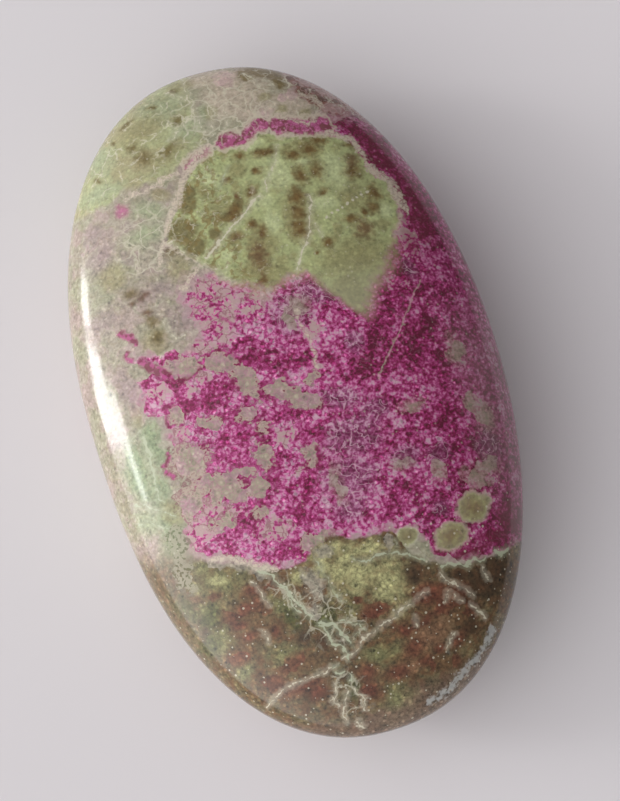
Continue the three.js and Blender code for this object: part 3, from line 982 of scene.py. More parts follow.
class Plan:
    """The stone's plan in a shader, from which patches, outlines and veins are read."""

    TURN_STEP = 15  # Turns are rounded to a multiple of this, so that they can be shared.
    MARGIN = 2.0  # How far outside a band its patches and veins still count.
    SPREAD = 1.6  # How much further than its edge a ragged patch may reach.
    FADE = 0.3  # A vein's taper, besides half its width.
    OVERRUN = (0.2, -0.8)  # How far past its ends a vein is drawn, and how deep it has sunk there.
    LEAST_STEP = 0.05  # The shortest step along a vein that a slope is measured over.
    MOST_LEAN = 2.0  # How much a slope widens a vein at the most.

    def __init__(self, bench: Bench, place: Signal, span: tuple[float, float]) -> None:
        """Starts from a place.

        Args:
            bench: The shader tree.
            place: The place in the plan, in millimetres, with no height.
            span: The southern and northern ends of the band that is drawn. What is clear of it is left out.
        """
        self.bench = bench
        self.place = place
        self.span = span
        self._turned: dict[int, Signal] = {0: place}
        self._rails: dict[int, tuple[Signal, Signal]] = {}

    def meets(self, south: float, north: float) -> bool:
        """Whether a stretch of the stone's length comes near the band."""
        return north > self.span[0] - self.MARGIN and south < self.span[1] + self.MARGIN

    def patch(self, patch: Patch, grow: float = 1.0) -> Signal:
        """A patch's distance.

        Args:
            patch: The patch.
            grow: How much it is grown.

        Returns:
            0 at its middle, 1 on its edge, and more outside.
        """
        turn = self._snapped(patch.turn)
        along, across = self._turn_point((patch.x, patch.y), turn)
        reach, breadth = patch.reach * grow, patch.breadth * grow
        scale = (1 / reach, 1 / breadth, 0.0)
        shift = (-along / reach, -across / breadth, 0.0)
        offset = self.bench.vector("MULTIPLY_ADD", self._frame(turn), scale, shift)
        return self.bench.vector("LENGTH", offset)

    def patches(self, patches: tuple[Patch, ...], grow: float = 1.0) -> Signal | None:
        """The nearest patch's distance.

        Args:
            patches: The patches.
            grow: How much each is grown.

        Returns:
            Below 1 inside any of them. None where none comes near the band.
        """
        nearest = None
        for patch in patches:
            reach = self.SPREAD * grow * max(patch.reach, patch.breadth)
            if self.meets(patch.y - reach, patch.y + reach):
                distance = self.patch(patch, grow)
                nearest = nearest.least(distance) if nearest else distance
        return nearest

    def outline(self, outline: Outline) -> Signal:
        """How far inside a closed outline the place is, in millimetres.

        Args:
            outline: The outline.

        Returns:
            The distance to the edge, measured from the outline's middle. It is below 0 outside.
        """
        offset = self.bench.vector("SUBTRACT", self.place, (*outline.middle, 0.0))
        x, y, _ = self.bench.split(offset)
        angle = y.math("ARCTAN2", x)
        spokes = []
        for px, py in outline.points:
            dx, dy = px - outline.middle[0], py - outline.middle[1]
            spokes.append((math.atan2(dy, dx), math.hypot(dx, dy)))
        spokes.sort()
        before = (spokes[-1][0] - 2 * math.pi, spokes[-1][1])
        after = (spokes[0][0] + 2 * math.pi, spokes[0][1])
        edge = angle.curve([before, *spokes, after])
        return edge - self.bench.vector("LENGTH", offset)

    def below(self, edge: tuple[Point, ...]) -> Signal:
        """How far below an edge that runs across the stone the place is, in millimetres."""
        along, height = self._rail(0)
        return along.curve(list(edge)) - height

    def vein(self, vein: Vein) -> Signal:
        """How far inside a vein the place is, in millimetres.

        Args:
            vein: The vein.

        Returns:
            Half the vein's width on its line, 0 at its edges, and less outside.
        """
        (x0, y0), (x1, y1) = vein.points[0], vein.points[-1]
        turn = self._snapped(math.degrees(math.atan2(y1 - y0, x1 - x0)))
        along, across = self._rail(turn)
        course = sorted(self._turn_point(point, turn) for point in vein.points)
        half = vein.width / 2
        slopes = [(b[1] - a[1]) / max(b[0] - a[0], self.LEAST_STEP) for a, b in zip(course, course[1:])]
        leans = [(a + b) / 2 for a, b in zip([slopes[0], *slopes], [*slopes, slopes[-1]])]
        stretches = [half * min(math.hypot(1.0, lean), self.MOST_LEAN) for lean in leans]
        widths = [(point[0], stretch) for point, stretch in zip(course, stretches)]
        start, end = course[0][0], course[-1][0]
        fade = min(self.FADE + half, (end - start) / 3)
        inner = [(place, width) for place, width in widths if start + fade < place < end - fade]
        past, sunk = self.OVERRUN
        reach = [
            (start - past, sunk),
            (start + fade, widths[0][1]),
            *inner,
            (end - fade, widths[-1][1]),
            (end + past, sunk),
        ]
        return along.curve(reach) - abs(across - along.curve(course))

    def veins(self, veins: tuple[Vein, ...]) -> Signal | None:
        """How far inside the nearest of several veins the place is.

        Args:
            veins: The veins.

        Returns:
            The depth, in millimetres. None where none comes near the band.
        """
        deepest = None
        for vein in veins:
            heights = [y for _, y in vein.points]
            if self.meets(min(heights) - vein.width, max(heights) + vein.width):
                depth = self.vein(vein)
                deepest = deepest.most(depth) if deepest else depth
        return deepest

    def _snapped(self, degrees: float) -> int:
        """A turn rounded to one of the plan's ready turns."""
        return int(round(degrees / self.TURN_STEP)) * self.TURN_STEP % 180

    def _frame(self, turn: int) -> Signal:
        """The place along and across a turned line, made once for each turn.

        Args:
            turn: The line's turn, in degrees.

        Returns:
            Both as a vector's first two parts.
        """
        if turn not in self._turned:
            cosine, sine = math.cos(math.radians(turn)), math.sin(math.radians(turn))
            along = self.bench.vector("DOT_PRODUCT", self.place, (cosine, sine, 0.0))
            across = self.bench.vector("DOT_PRODUCT", self.place, (-sine, cosine, 0.0))
            self._turned[turn] = self.bench.join(along, across, 0.0)
        return self._turned[turn]

    def _rail(self, turn: int) -> tuple[Signal, Signal]:
        """The place along and across a turned line, in two numbers, made once for each turn.

        Args:
            turn: The line's turn, in degrees.

        Returns:
            Both, in millimetres.
        """
        if turn not in self._rails:
            along, across, _ = self.bench.split(self._frame(turn))
            self._rails[turn] = (along, across)
        return self._rails[turn]

    @staticmethod
    def _turn_point(point: Point, turn: int) -> Point:
        """A point's place along and across a line that is turned by some degrees."""
        cosine, sine = math.cos(math.radians(turn)), math.sin(math.radians(turn))
        return (point[0] * cosine + point[1] * sine, -point[0] * sine + point[1] * cosine)


# ---- The stone's finish ----------------------------------------------------------------------------------


@dataclass
class Grit:
    """The textures that a band's layers share. The first four are noises about 0.5, from broad to fine."""

    cloud: Signal
    mottle: Signal
    grain: Signal
    fine: Signal
    web: Signal  # 0 along irregular threads.
    crackle: Signal  # The distance to the nearest crack between cells.
    cell: Signal  # A random number for each cell.
    shard: Signal  # A random number for each shard.
    granule: Signal  # A random number for each granule.
    joint: Signal  # The distance to the granule's middle.
    speck: Signal  # Above 0 in the middle of some granules, below 0 in others.
    mesh: Signal  # 1 along the joints between granules.


@dataclass
class Band:
    """One band of the pattern: the plans and the textures at a place, and the layers drawn with them."""

    bench: Bench
    inside: Signal  # The place in the stone, in millimetres.
    plan: Plan
    broken: Plan  # The plan, broken into shards.
    threads: Plan  # The plan with a finer waver, for the veins.
    grit: Grit
    fleck_cells: float = 1.9  # Cells to a millimetre, each with one fleck at the most.
    fleck_gap: float = 0.4  # The share of the cells without one.
    fleck_size: float = 0.42

    def paint(self) -> tuple[Signal, Signal | float]:
        """Lays every layer that the band meets, from the ground up to the flecks.

        Returns:
            The colour, and the cover of the painted reflection along the rim.
        """
        colour = self._field(self._cap(self._ground()))
        if self.plan.meets(*LOBE_SPAN):
            colour = self._lobe(colour)
        if self.plan.meets(*FOOT_SPAN):
            colour = self._foot(colour)
        return self._flecks(self._seams(colour))

    def _blot(
        self,
        under: Signal,
        near: Signal | None,
        wobble: Signal,
        mineral: Mineral,
        soft: float,
        cover: float,
    ) -> Signal:
        """Lays soft-edged patches of one mineral on a colour.

        Args:
            under: The colour below.
            near: The distance to the nearest patch, 1 on its edge, or None.
            wobble: What is added to that distance, to make the edge ragged.
            mineral: The patches' mineral.
            soft: How wide their soft edge is, as a share of their size.
            cover: How much they cover at the most.

        Returns:
            The new colour.
        """
        if near is None:
            return under
        return self.bench.mix(under, mineral, (near + wobble).ramp(1.0 + soft * 0.5, 1.0 - soft) * cover)

    def _lay(self, layers: tuple[Layer, ...], colour: Signal, cloudy: Signal, grainy: Signal) -> Signal:
        """Lays several layers of patches.

        Args:
            layers: The layers, from the lowest up.
            colour: The colour below.
            cloudy: What sways the edges of the cloudy ones.
            grainy: What sways the edges of the grainy ones.

        Returns:
            The new colour.
        """
        for layer in layers:
            near = (self.broken if layer.broken else self.plan).patches(layer.patches, layer.grow)
            wobble = grainy if layer.grainy else cloudy
            if layer.swing != 1.0:
                wobble = wobble * layer.swing
            colour = self._blot(colour, near, wobble, layer.mineral, layer.soft, layer.cover)
        return colour

    @staticmethod
    def _share(near: Signal | None, wobble: Signal, far: float, close: float) -> Signal | float:
        """How much of a set of patches is at a place.

        Args:
            near: The distance to the nearest patch, 1 on its edge, or None.
            wobble: What is added to that distance, to make the edge ragged.
            far: Where the share is 0.
            close: Where the share is 1.

        Returns:
            The share, 0 to 1.
        """
        return (near + wobble).ramp(far, close) if near else 0.0

    def _grained(self, colour: Signal, fine: Signal | float, grain: Signal | float) -> Signal:
        """Lightens and darkens a colour in small grains.

        Args:
            colour: The colour.
            fine: How strong the finest grains are.
            grain: How strong the larger ones are.

        Returns:
            The grained colour.
        """
        grit = self.grit
        shade = grit.fine.swing(fine) + grit.grain.swing(grain) + grit.speck * (fine * 0.3) + 1.0
        return self.bench.scaled(colour, shade.most(0.25))

    def _ground(self) -> Signal:
        """The pale mottled ground.

        Returns:
            The ground's colour.
        """
        bench, grit = self.bench, self.grit
        blend = grit.cloud * 0.6 + grit.mottle * 0.4
        ground = bench.mix(Mineral.MATRIX_PINK, Mineral.MATRIX_OLIVE, blend.ramp(0.40, 0.58))
        ground = bench.mix(ground, Mineral.MAUVE, grit.grain.ramp(0.5, 0.66) * 0.4)
        ground = bench.mix(ground, Mineral.PALE_GREEN, grit.cell.ramp(0.55, 0.75) * 0.3)
        return bench.scaled(ground, grit.shard * 0.14 + 0.93)

    def _cap(self, colour: Signal) -> Signal:
        """The pale cap and the left side, with their tints and spots.

        Args:
            colour: The colour below.

        Returns:
            The new colour.
        """
        bench, plan, grit = self.bench, self.plan, self.grit
        cloudy = grit.mottle.swing(0.9) + grit.grain.swing(0.5)
        grainy = grit.mottle.swing(0.6) + grit.grain.swing(0.8)
        ochre = (grit.cloud + cloudy * 0.3).ramp(0.42, 0.6)
        green = bench.mix(Mineral.CAP_GREEN, Mineral.CAP_OLIVE, ochre)
        if plan.meets(*CAP_SPAN):
            cap = (plan.outline(PALE_CAP) + cloudy * 1.5).ramp(-0.5, 0.8)
            colour = bench.mix(colour, green, cap * 0.85)
        colour = self._lay(CAP_LAYERS, colour, cloudy, grainy)
        _, north, _ = bench.split(plan.place)
        cracks = (grit.crackle + grit.fine.swing(0.12)).ramp(0.07, 0.01) * grit.mottle.ramp(0.44, 0.6)
        cracks = cracks * (north.ramp(23.0, 27.0) * 0.75 + 0.25)
        if plan.meets(*CAP_SPAN):
            colour = self._flank(colour, grainy)
        colour = bench.mix(colour, Mineral.OLIVE_BROWN, grit.web.ramp(0.04, 0.0) * 0.2)
        colour = bench.mix(colour, Mineral.CREAM, cracks * 0.6)
        coarse = north.ramp(24.0, 16.0) * 0.35 + 0.65
        return self._grained(colour, coarse, coarse)

    def _flank(self, colour: Signal, grainy: Signal) -> Signal:
        """The maroon flank at the top right, and the purple spot on the left.

        Args:
            colour: The colour below.
            grainy: What sways the edges.

        Returns:
            The new colour.
        """
        bench, plan, grit = self.bench, self.plan, self.grit
        flank = plan.outline(SHADED_FLANK) + grainy * 1.4
        maroon = bench.mix(Mineral.MAROON, Mineral.DARK_BROWN, grit.mottle.ramp(0.48, 0.62) * 0.55)
        bloom = (grit.mottle + grit.grain.swing(0.5)).ramp(0.52, 0.4)
        maroon = bench.mix(maroon, Mineral.TOP_MAUVE, bloom * 0.6)
        maroon = bench.mix(maroon, Mineral.TOP_MAUVE, grit.web.ramp(0.05, 0.005) * 0.6)
        colour = bench.mix(colour, maroon, flank.ramp(-0.4, 0.6) * 0.9)
        spot = self._share(plan.patch(PURPLE_SPOT), grainy * 1.8, 1.6, 0.4)
        return bench.mix(colour, Mineral.STICHTITE_ROSE, spot * 0.6)

    def _field(self, colour: Signal) -> Signal:
        """The granular stichtite field.

        Args:
            colour: The colour below.

        Returns:
            The new colour.
        """
        bench, plan, broken, grit = self.bench, self.plan, self.broken, self.grit
        grainy = grit.grain.swing(0.9)
        depth = broken.outline(STICHTITE_FIELD) + grit.mottle.swing(2.0) + grainy
        rich = self._share(broken.patches(RICH_PATCHES), grainy, 1.35, 0.6)
        lean = self._share(broken.patches(LEAN_PATCHES), grainy, 1.25, 0.6)
        dark = self._share(broken.patches(DARK_PATCHES), grainy, 1.3, 0.6)
        east, north, _ = bench.split(plan.place)
        # Darker, richer stain towards the right: partly the field's own colour, partly painted shade on the
        # side away from the light.
        right_shade_and_stain = east.ramp(2.0, 15.0)
        maroon = self._share(plan.patches(MAROON_PATCHES), grainy, 1.3, 0.5)
        lilac = self._share(plan.patches(LILAC_PATCHES), grit.mottle.swing(1.4), 1.4, 0.4)
        body = right_shade_and_stain * 0.22 + lilac * 0.18 + 0.44
        body = body + rich * 0.19 - lean * 0.2 + dark * 0.2 + maroon * 0.08
        coarse = grit.mottle.swing(1.0) + grit.grain.swing(1.1) + grit.shard.swing(0.12)
        small = grit.fine.swing(1.5) + grit.granule.swing(0.4) + grit.joint.swing(0.2)
        density = body + coarse + small
        stain = bench.add("ShaderNodeValToRGB", {"stops": STAIN_STOPS}, [density])
        stain = bench.scaled(stain, grit.speck * 0.5 + 1.0)
        ash = bench.add("ShaderNodeValToRGB", {"stops": LILAC_STOPS}, [density])
        stain = bench.mix(stain, ash, lilac * 0.7)
        frost = (grit.web.ramp(0.03, 0.004) * 0.9).most(grit.mesh * 0.15)
        stain = bench.mix(stain, Mineral.STICHTITE_GROUND, frost * (lilac * 0.75 + 0.12))
        stain = bench.mix(stain, Mineral.STICHTITE_CRIMSON, grit.mesh * (0.24 - lilac * 0.24))
        bare = lean * (density + grainy * 0.4).ramp(0.58, 0.22)
        stain = bench.mix(stain, Mineral.FIELD_BEIGE, bare * 0.85)
        seams = grit.crackle.ramp(0.06, 0.01) * east.ramp(2.0, -3.0)
        stain = bench.mix(stain, Mineral.STICHTITE_CRIMSON, seams * 0.5)
        stain = bench.mix(stain, Mineral.STICHTITE_MAROON, right_shade_and_stain * 0.1 + maroon * 0.35)
        # Paler mauve along the lower right limb: partly painted sheen, partly a paler tint of the stone.
        limb_sheen_and_tint = east.ramp(14.5, 20.0) * north.ramp(6.0, -4.0)
        stain = bench.mix(stain, Mineral.MAUVE, limb_sheen_and_tint * 0.4)
        colour = bench.mix(colour, Mineral.STICHTITE_BLUSH, depth.ramp(-2.2, 0.2) * 0.35)
        colour = bench.mix(colour, stain, depth.ramp(-0.6, 0.6))
        return self._clasts(colour)

    def _clasts(self, colour: Signal) -> Signal:
        """The beige, grey and green clasts in the field.

        Args:
            colour: The colour below.

        Returns:
            The new colour.
        """
        bench, grit = self.bench, self.grit
        ragged = grit.grain.swing(1.1) + grit.fine.swing(1.1)
        beige = self.broken.patches(BEIGE_CLASTS)
        if beige:
            clasts = beige + ragged
            colour = bench.mix(colour, Mineral.STICHTITE_CRIMSON, clasts.ramp(1.5, 1.2) * 0.6)
            pale = bench.mix(Mineral.CLAST, Mineral.STICHTITE_BLUSH, grit.mottle.ramp(0.46, 0.6) * 0.35)
            pale = self._grained(bench.scaled(pale, grit.granule * 0.3 + 0.82), 0.9, 0.9)
            pale = bench.mix(pale, Mineral.STICHTITE_PINK, grit.mesh * 0.25)
            pale = bench.mix(pale, Mineral.BEIGE, clasts.ramp(0.8, 1.05) * 0.8)
            colour = bench.mix(colour, pale, clasts.ramp(1.3, 1.0) * 0.82)
        colour = self._blot(colour, self.broken.patches(GREY_CLASTS), ragged, Mineral.CLAST, 0.7, 0.65)
        green = self.plan.patches(GREEN_CLASTS)
        if green:
            clasts = green + grit.mottle.swing(0.7) + grit.grain.swing(0.5)
            colour = bench.mix(colour, Mineral.CREAM, clasts.ramp(1.25, 1.02) * 0.45)
            olive = bench.mix(Mineral.LOBE_OLIVE, Mineral.OLIVE_BROWN, clasts.ramp(0.75, 0.1) * 0.7)
            olive = bench.mix(olive, Mineral.LOBE_GREEN, clasts.ramp(0.7, 0.95) * 0.6)
            olive = self._grained(bench.scaled(olive, grit.granule * 0.24 + 0.88), 0.9, 1.1)
            colour = bench.mix(colour, olive, clasts.ramp(1.14, 0.8) * 0.85)
        return colour

    def _lobe(self, colour: Signal) -> Signal:
        """The green lobe under the rose band.

        Args:
            colour: The colour below.

        Returns:
            The new colour.
        """
        bench, plan, grit = self.bench, self.plan, self.grit
        cloudy = grit.mottle.swing(1.1) + grit.grain.swing(0.3)
        grainy = grit.mottle.swing(0.9) + grit.grain.swing(0.9) + grit.joint.swing(0.5)
        east, north, _ = bench.split(plan.place)
        depth = plan.outline(GREEN_LOBE) + (grit.grain - 0.5) + grit.mottle.swing(0.5)
        lobe = bench.mix(Mineral.LOBE_GREEN, Mineral.LOBE_OLIVE, grit.mottle.ramp(0.46, 0.66) * 0.7)
        lobe = self._lay(LOBE_LAYERS, lobe, cloudy, grainy)
        westward = east.ramp(2.0, -4.0)
        thread = grit.web.ramp(0.02, 0.002) * grit.mottle.ramp(0.44, 0.58)
        lobe = bench.mix(lobe, Mineral.CREAM, thread * (westward * 0.5 + 0.15))
        lobe = bench.mix(lobe, Mineral.OLIVE_BROWN, grainy.ramp(0.02, 0.16) * (westward * 0.6 + 0.08))
        lobe = self._grained(lobe, 0.75, 0.9)
        lobe = bench.mix(lobe, Mineral.CLAST, north.ramp(11.0, 6.0) * 0.45)
        rim = depth.ramp(-0.9, -0.15) * depth.ramp(0.4, 0.0) * north.ramp(9.0, 14.0)
        colour = bench.mix(colour, Mineral.ROSE_CREAM, rim * grit.grain.ramp(0.36, 0.56) * 0.8)
        soft = north.ramp(14.0, 8.0) * 1.5
        return bench.mix(colour, lobe, (depth / (soft + 0.25)).ramp(-0.9, 0.9))

    def _foot(self, colour: Signal) -> Signal:
        """The darker foot of the stone.

        Args:
            colour: The colour below.

        Returns:
            The new colour.
        """
        bench, plan, grit = self.bench, self.plan, self.grit
        cloudy = grit.mottle.swing(1.4) + grit.grain.swing(0.4)
        grainy = grit.mottle.swing(0.8) + grit.grain.swing(0.8)
        east, _, _ = bench.split(plan.place)
        depth = plan.below(FOOT_EDGE) + grainy
        browner = (grit.mottle * 0.6 + grit.grain * 0.4).ramp(0.4, 0.6)
        foot = bench.mix(Mineral.LOW_GROUND, Mineral.LOW_BROWN, browner)
        base = (plan.below(FOOT_BASE_EDGE) + cloudy).ramp(-1.0, 1.0)
        foot = bench.mix(foot, Mineral.LOW_BASE, base * 0.7)
        foot = self._lay(FOOT_GREEN_LAYERS, foot, cloudy, grainy)
        browns = plan.patches(FOOT_BROWN_PATCHES)
        foot = self._blot(foot, browns, grainy, Mineral.LOW_BROWN, 0.7, 0.85)
        foot = self._lay(FOOT_DARK_LAYERS, foot, cloudy, grainy)
        reds = self._share(browns, grainy, 1.6, 0.8) * (grit.cell * 0.7 + grit.mottle * 0.3).ramp(0.46, 0.6)
        foot = bench.mix(foot, Mineral.LOW_RED, reds * 0.7)
        foot = bench.mix(foot, Mineral.DARK_BROWN, (grainy.ramp(0.06, 0.2) * 0.3).most(grit.mesh * 0.3))
        foot = self._blot(foot, self.broken.patches(FOOT_PALE_PATCHES), grainy, Mineral.PINK_GREY, 0.4, 0.8)
        foot = self._grained(bench.scaled(foot, grit.granule * 0.3 + 0.86), 1.6, 1.5)
        left = east.ramp(-14.0, -18.0)
        inside = (depth / (left * 2.0 + 0.3)).ramp(-0.8, 0.8)
        colour = bench.mix(colour, foot, inside * (1.0 - left * 0.2))
        porous = self._share(self.broken.patches(POROUS_PATCHES), grainy, 1.3, 0.7)
        pits = (grit.fine + grainy * 0.4).ramp(0.46, 0.6)
        pitted = bench.mix(Mineral.MATRIX_OLIVE, Mineral.LOW_MOSS, pits)
        return bench.mix(colour, pitted, porous * 0.75)

    def _seams(self, colour: Signal) -> Signal:
        """The veins, and the nets of finer ones.

        Args:
            colour: The colour below.

        Returns:
            The new colour.
        """
        bench, plan, grit = self.bench, self.threads, self.grit
        waver = grit.grain.swing(0.45) + grit.fine.swing(0.35)
        arc = plan.veins(ARC_VEINS)
        if arc:
            arc = arc + waver * 1.8
            colour = bench.mix(colour, Mineral.ROSE_CREAM, arc.ramp(-0.75, -0.35) * 0.7)
            bloom = bench.mix(Mineral.STICHTITE_ROSE, Mineral.STICHTITE_MAROON, grit.granule.ramp(0.2, 0.8))
            dust = (grit.fine + grit.grain - 1.0).ramp(0.04, -0.2)
            bloom = bench.mix(bloom, Mineral.STICHTITE_PINK, dust * 0.9)
            bloom = bench.mix(bloom, Mineral.STICHTITE_CRIMSON, grit.mesh * 0.5)
            colour = bench.mix(colour, bloom, arc.ramp(-0.3, 0.3) * 0.9)
        rose = plan.veins(ROSE_VEINS)
        if rose:
            stain = bench.mix(Mineral.STICHTITE_ROSE, Mineral.STICHTITE_CRIMSON, grit.grain.ramp(0.4, 0.56))
            colour = bench.mix(colour, stain, (rose + waver).ramp(-0.3, 0.15) * 0.85)
        pale = plan.veins(ROSE_CREAM_VEINS)
        if pale:
            chalk = bench.mix(Mineral.ROSE_CREAM, Mineral.MATRIX_PINK, grit.fine.ramp(0.5, 0.64) * 0.7)
            gap = 1.0 - grit.mesh * 0.6
            colour = bench.mix(colour, chalk, (pale + waver * 2.2).ramp(-0.24, 0.1) * gap * 0.95)
        net = self._share(plan.patches(FINE_NET_PATCHES), grit.mottle.swing(1.4), 1.3, 0.6)
        lines = (grit.crackle + grit.fine.swing(0.1)).ramp(0.08, 0.01)
        lines = lines.most(grit.web.ramp(0.014, 0.002) * 0.6)
        colour = bench.mix(colour, Mineral.CREAM, net * lines * 0.5)
        for course, mineral in ((CREAM_VEINS, Mineral.CREAM), (MINT_VEINS, Mineral.MINT)):
            thread = plan.veins(course)
            if thread:
                thread = thread + waver * 0.9
                cover = (thread.ramp(-0.5, 0.0) * 0.24).most(thread.ramp(-0.01, 0.15) * 0.92)
                colour = bench.mix(colour, mineral, cover)
        seam = plan.veins(STRAIGHT_SEAM)
        if seam:
            colour = bench.mix(colour, Mineral.CREAM, seam.ramp(-0.1, 0.08) * 0.4)
        return colour

    def _flecks(self, colour: Signal) -> tuple[Signal, Signal | float]:
        """The white flecks, and the painted reflection of the floor along the rim.

        Args:
            colour: The colour below.

        Returns:
            The new colour, and the painted reflection's cover.
        """
        bench, plan, grit = self.bench, self.plan, self.grit
        sockets = {"Vector": self.inside, "Scale": self.fleck_cells}
        cells = bench.node("ShaderNodeTexVoronoi", {"feature": "F1"}, sockets)
        chosen, _, _ = bench.split(Signal(bench, cells.outputs["Color"]))
        size = (chosen - self.fleck_gap).most(0.0) * self.fleck_size
        fleck = (size - Signal(bench, cells.outputs["Distance"])).ramp(-0.05, 0.05)
        _, north, _ = bench.split(plan.place)
        fleck = fleck * (north.ramp(-16.0, -20.0) * 0.35 + 0.3)
        dots = plan.patches(DOT_CHAIN)
        if dots:
            fleck = fleck.most(dots.ramp(1.5, 0.8) * 0.8)
        colour = bench.mix(colour, Mineral.CREAM, fleck)
        # A painted reflection of the floor, in a pale band along the lower-right rim above the girdle.
        rim = plan.veins(RIM_REFLECTION_BAND)
        if not rim:
            return colour, 0.0
        _, _, height = bench.split(self.inside)
        ragged = rim + grit.grain.swing(1.4) + grit.fine.swing(1.0)
        rim_reflection = ragged.ramp(-0.3, 0.3) * height.ramp(9.0, 10.5)
        return bench.mix(colour, Mineral.PAINTED_RIM_REFLECTION, rim_reflection * 0.6), rim_reflection


@dataclass(frozen=True)
class PolishedSerpentine:
    """Polished serpentine with granular stichtite, as a solid pattern read at the place in the stone."""

    pattern_offset: tuple[float, float, float] = (0.125, -0.133, 0.0)
    girdle_height: float = 10.0  # The pattern goes straight down above it.
    dip: tuple[float, float] = (0.35, -0.25)  # The pattern's lean for each millimetre below the girdle.
    fold: float = 1.1
    fold_size: float = 9.0
    crinkle: float = 0.8  # How far every edge wavers.
    crinkle_size: float = 1.5
    thread_crinkle: float = 0.7  # How much further the veins waver.
    thread_size: float = 0.7
    shard_size: float = 0.95
    shard_share: float = 0.65  # How much of a shard is as it is in the shard's middle.
    cell_size: float = 1.9
    cell_bend: float = 2.2
    granule_size: float = 0.62
    granule_bend: float = 0.7
    roughness: float = 0.13
    gloss_index: float = 1.55
    borders: tuple[float, ...] = (-21.5, -11.0, 0.5, 13.0)  # Where the bands across the stone meet.
    hair: float = 0.0001  # A shift too small to see, which keeps the bands' noises apart.
    relief: float = 0.00002  # In metres.

    def build(self) -> bpy.types.Material:
        """Makes the material: one shader for each band across the stone, side by side.

        Returns:
            The finished material.
        """
        material = bpy.data.materials.new("polished_serpentine")
        material.use_nodes = True
        tree = material.node_tree
        tree.nodes.clear()
        bench = Bench(tree)
        inside = bench.scaled(bench.add("ShaderNodeTexCoord", None, None, "Object"), 1 / MM)
        normal = self._relief(bench, inside)
        _, north, _ = bench.split(self._plan_place(bench, inside, self._ripple(bench, inside)))
        ends = (-math.inf, *self.borders, math.inf)
        surface = None
        for number, span in enumerate(zip(ends, ends[1:]), 1):
            apart = bench.vector("ADD", inside, (0.0, 0.0, self.hair * number))
            pattern = bench.node("ShaderNodeGroup", {"node_tree": self._pattern(span)}, [apart])
            colour, gloss = (Signal(bench, output) for output in pattern.outputs)
            sockets = {"Base Color": colour, "Roughness": gloss, "IOR": self.gloss_index, "Normal": normal}
            band = bench.add("ShaderNodeBsdfPrincipled", None, sockets)
            if surface:
                sockets = [north.math("GREATER_THAN", span[0]), surface, band]
                band = bench.add("ShaderNodeMixShader", None, sockets)
            surface = band
        output = bench.node("ShaderNodeOutputMaterial")
        tree.links.new(surface.socket, output.inputs["Surface"])
        return material

    def _pattern(self, span: tuple[float, float]) -> bpy.types.NodeTree:
        """Makes the pattern of one band across the stone.

        Args:
            span: The band's southern and northern ends.

        Returns:
            A node group: the place in the stone in, and the colour and the roughness out.
        """
        tree = bpy.data.node_groups.new("serpentine_band", "ShaderNodeTree")
        tree.interface.new_socket("Inside", in_out="INPUT", socket_type="NodeSocketVector")
        for name, kind in (("Color", "Color"), ("Roughness", "Float")):
            tree.interface.new_socket(name, in_out="OUTPUT", socket_type=f"NodeSocket{kind}")
        bench = Bench(tree)
        inside = bench.add("NodeGroupInput")
        ripple = self._ripple(bench, inside)
        place = self._plan_place(bench, inside, ripple)
        settings = {"feature": "F1", "voronoi_dimensions": "2D"}
        sockets = {"Vector": place, "Scale": 1 / self.shard_size}
        shards = bench.node("ShaderNodeTexVoronoi", settings, sockets)
        centre = bench.scaled(Signal(bench, shards.outputs["Position"]), self.shard_share)
        shifted = bench.vector("MULTIPLY_ADD", place, (1 - self.shard_share,) * 3, centre)
        waver = bench.vector("SUBTRACT", bench.noise(inside, self.thread_size, 2, "Color"), HALVES)
        sway = (self.thread_crinkle, self.thread_crinkle, 0.0)
        wavering = bench.vector("MULTIPLY_ADD", waver, sway, place)
        band = Band(
            bench=bench,
            inside=inside,
            plan=Plan(bench, place, span),
            broken=Plan(bench, shifted, span),
            threads=Plan(bench, wavering, span),
            grit=self._grit(bench, inside, ripple, shards),
        )
        colour, rim_reflection = band.paint()
        # The band of painted reflection along the rim is also made rougher.
        gloss = band.grit.mottle.swing(0.08) + band.grit.fine.swing(0.06) + self.roughness + rim_reflection * 0.25
        bench.node("NodeGroupOutput", None, [colour, gloss])
        return tree

    def _ripple(self, bench: Bench, inside: Signal) -> Signal:
        """The small irregular shift of every edge, at a place in the stone."""
        return bench.vector("SUBTRACT", bench.noise(inside, self.crinkle_size, 3, "Color"), HALVES)

    def _grit(self, bench: Bench, inside: Signal, ripple: Signal, shards: bpy.types.Node) -> Grit:
        """Makes the textures that the layers share.

        Args:
            bench: The shader tree.
            inside: The place in the stone, in millimetres.
            ripple: The shift of every edge.
            shards: The texture that breaks the plan into shards.

        Returns:
            The textures.
        """
        bent = bench.vector("MULTIPLY_ADD", ripple, (self.cell_bend,) * 3, inside)
        cells = {"Vector": bent, "Scale": 1 / self.cell_size}
        bent = bench.vector("MULTIPLY_ADD", ripple, (self.granule_bend,) * 3, inside)
        seeds = {"Vector": bent, "Scale": 1 / self.granule_size}
        kind = "ShaderNodeTexVoronoi"
        middles, edges = {"feature": "F1"}, {"feature": "DISTANCE_TO_EDGE"}
        granules = bench.node(kind, middles, seeds)
        granule = bench.split(Signal(bench, granules.outputs["Color"]))[0]
        joint = Signal(bench, granules.outputs["Distance"])
        chosen = (0.28 - joint).ramp(-0.08, 0.08)
        return Grit(
            speck=chosen * (granule.ramp(0.58, 0.66) - granule.ramp(0.32, 0.24) * 0.8),
            cloud=bench.noise(inside, 4.5, 3),
            mottle=bench.noise(inside, 1.6, 3),
            grain=bench.noise(inside, 0.62, 2),
            fine=bench.noise(inside, 0.33, 2),
            web=abs(bench.noise(inside, 1.3, 2, Distortion=0.5) - 0.5),
            crackle=bench.add(kind, edges, cells, "Distance"),
            cell=bench.split(bench.add(kind, middles, cells, "Color"))[0],
            shard=bench.split(Signal(bench, shards.outputs["Color"]))[0],
            granule=granule,
            joint=joint,
            mesh=bench.add(kind, edges, seeds, "Distance").ramp(0.11, 0.02),
        )

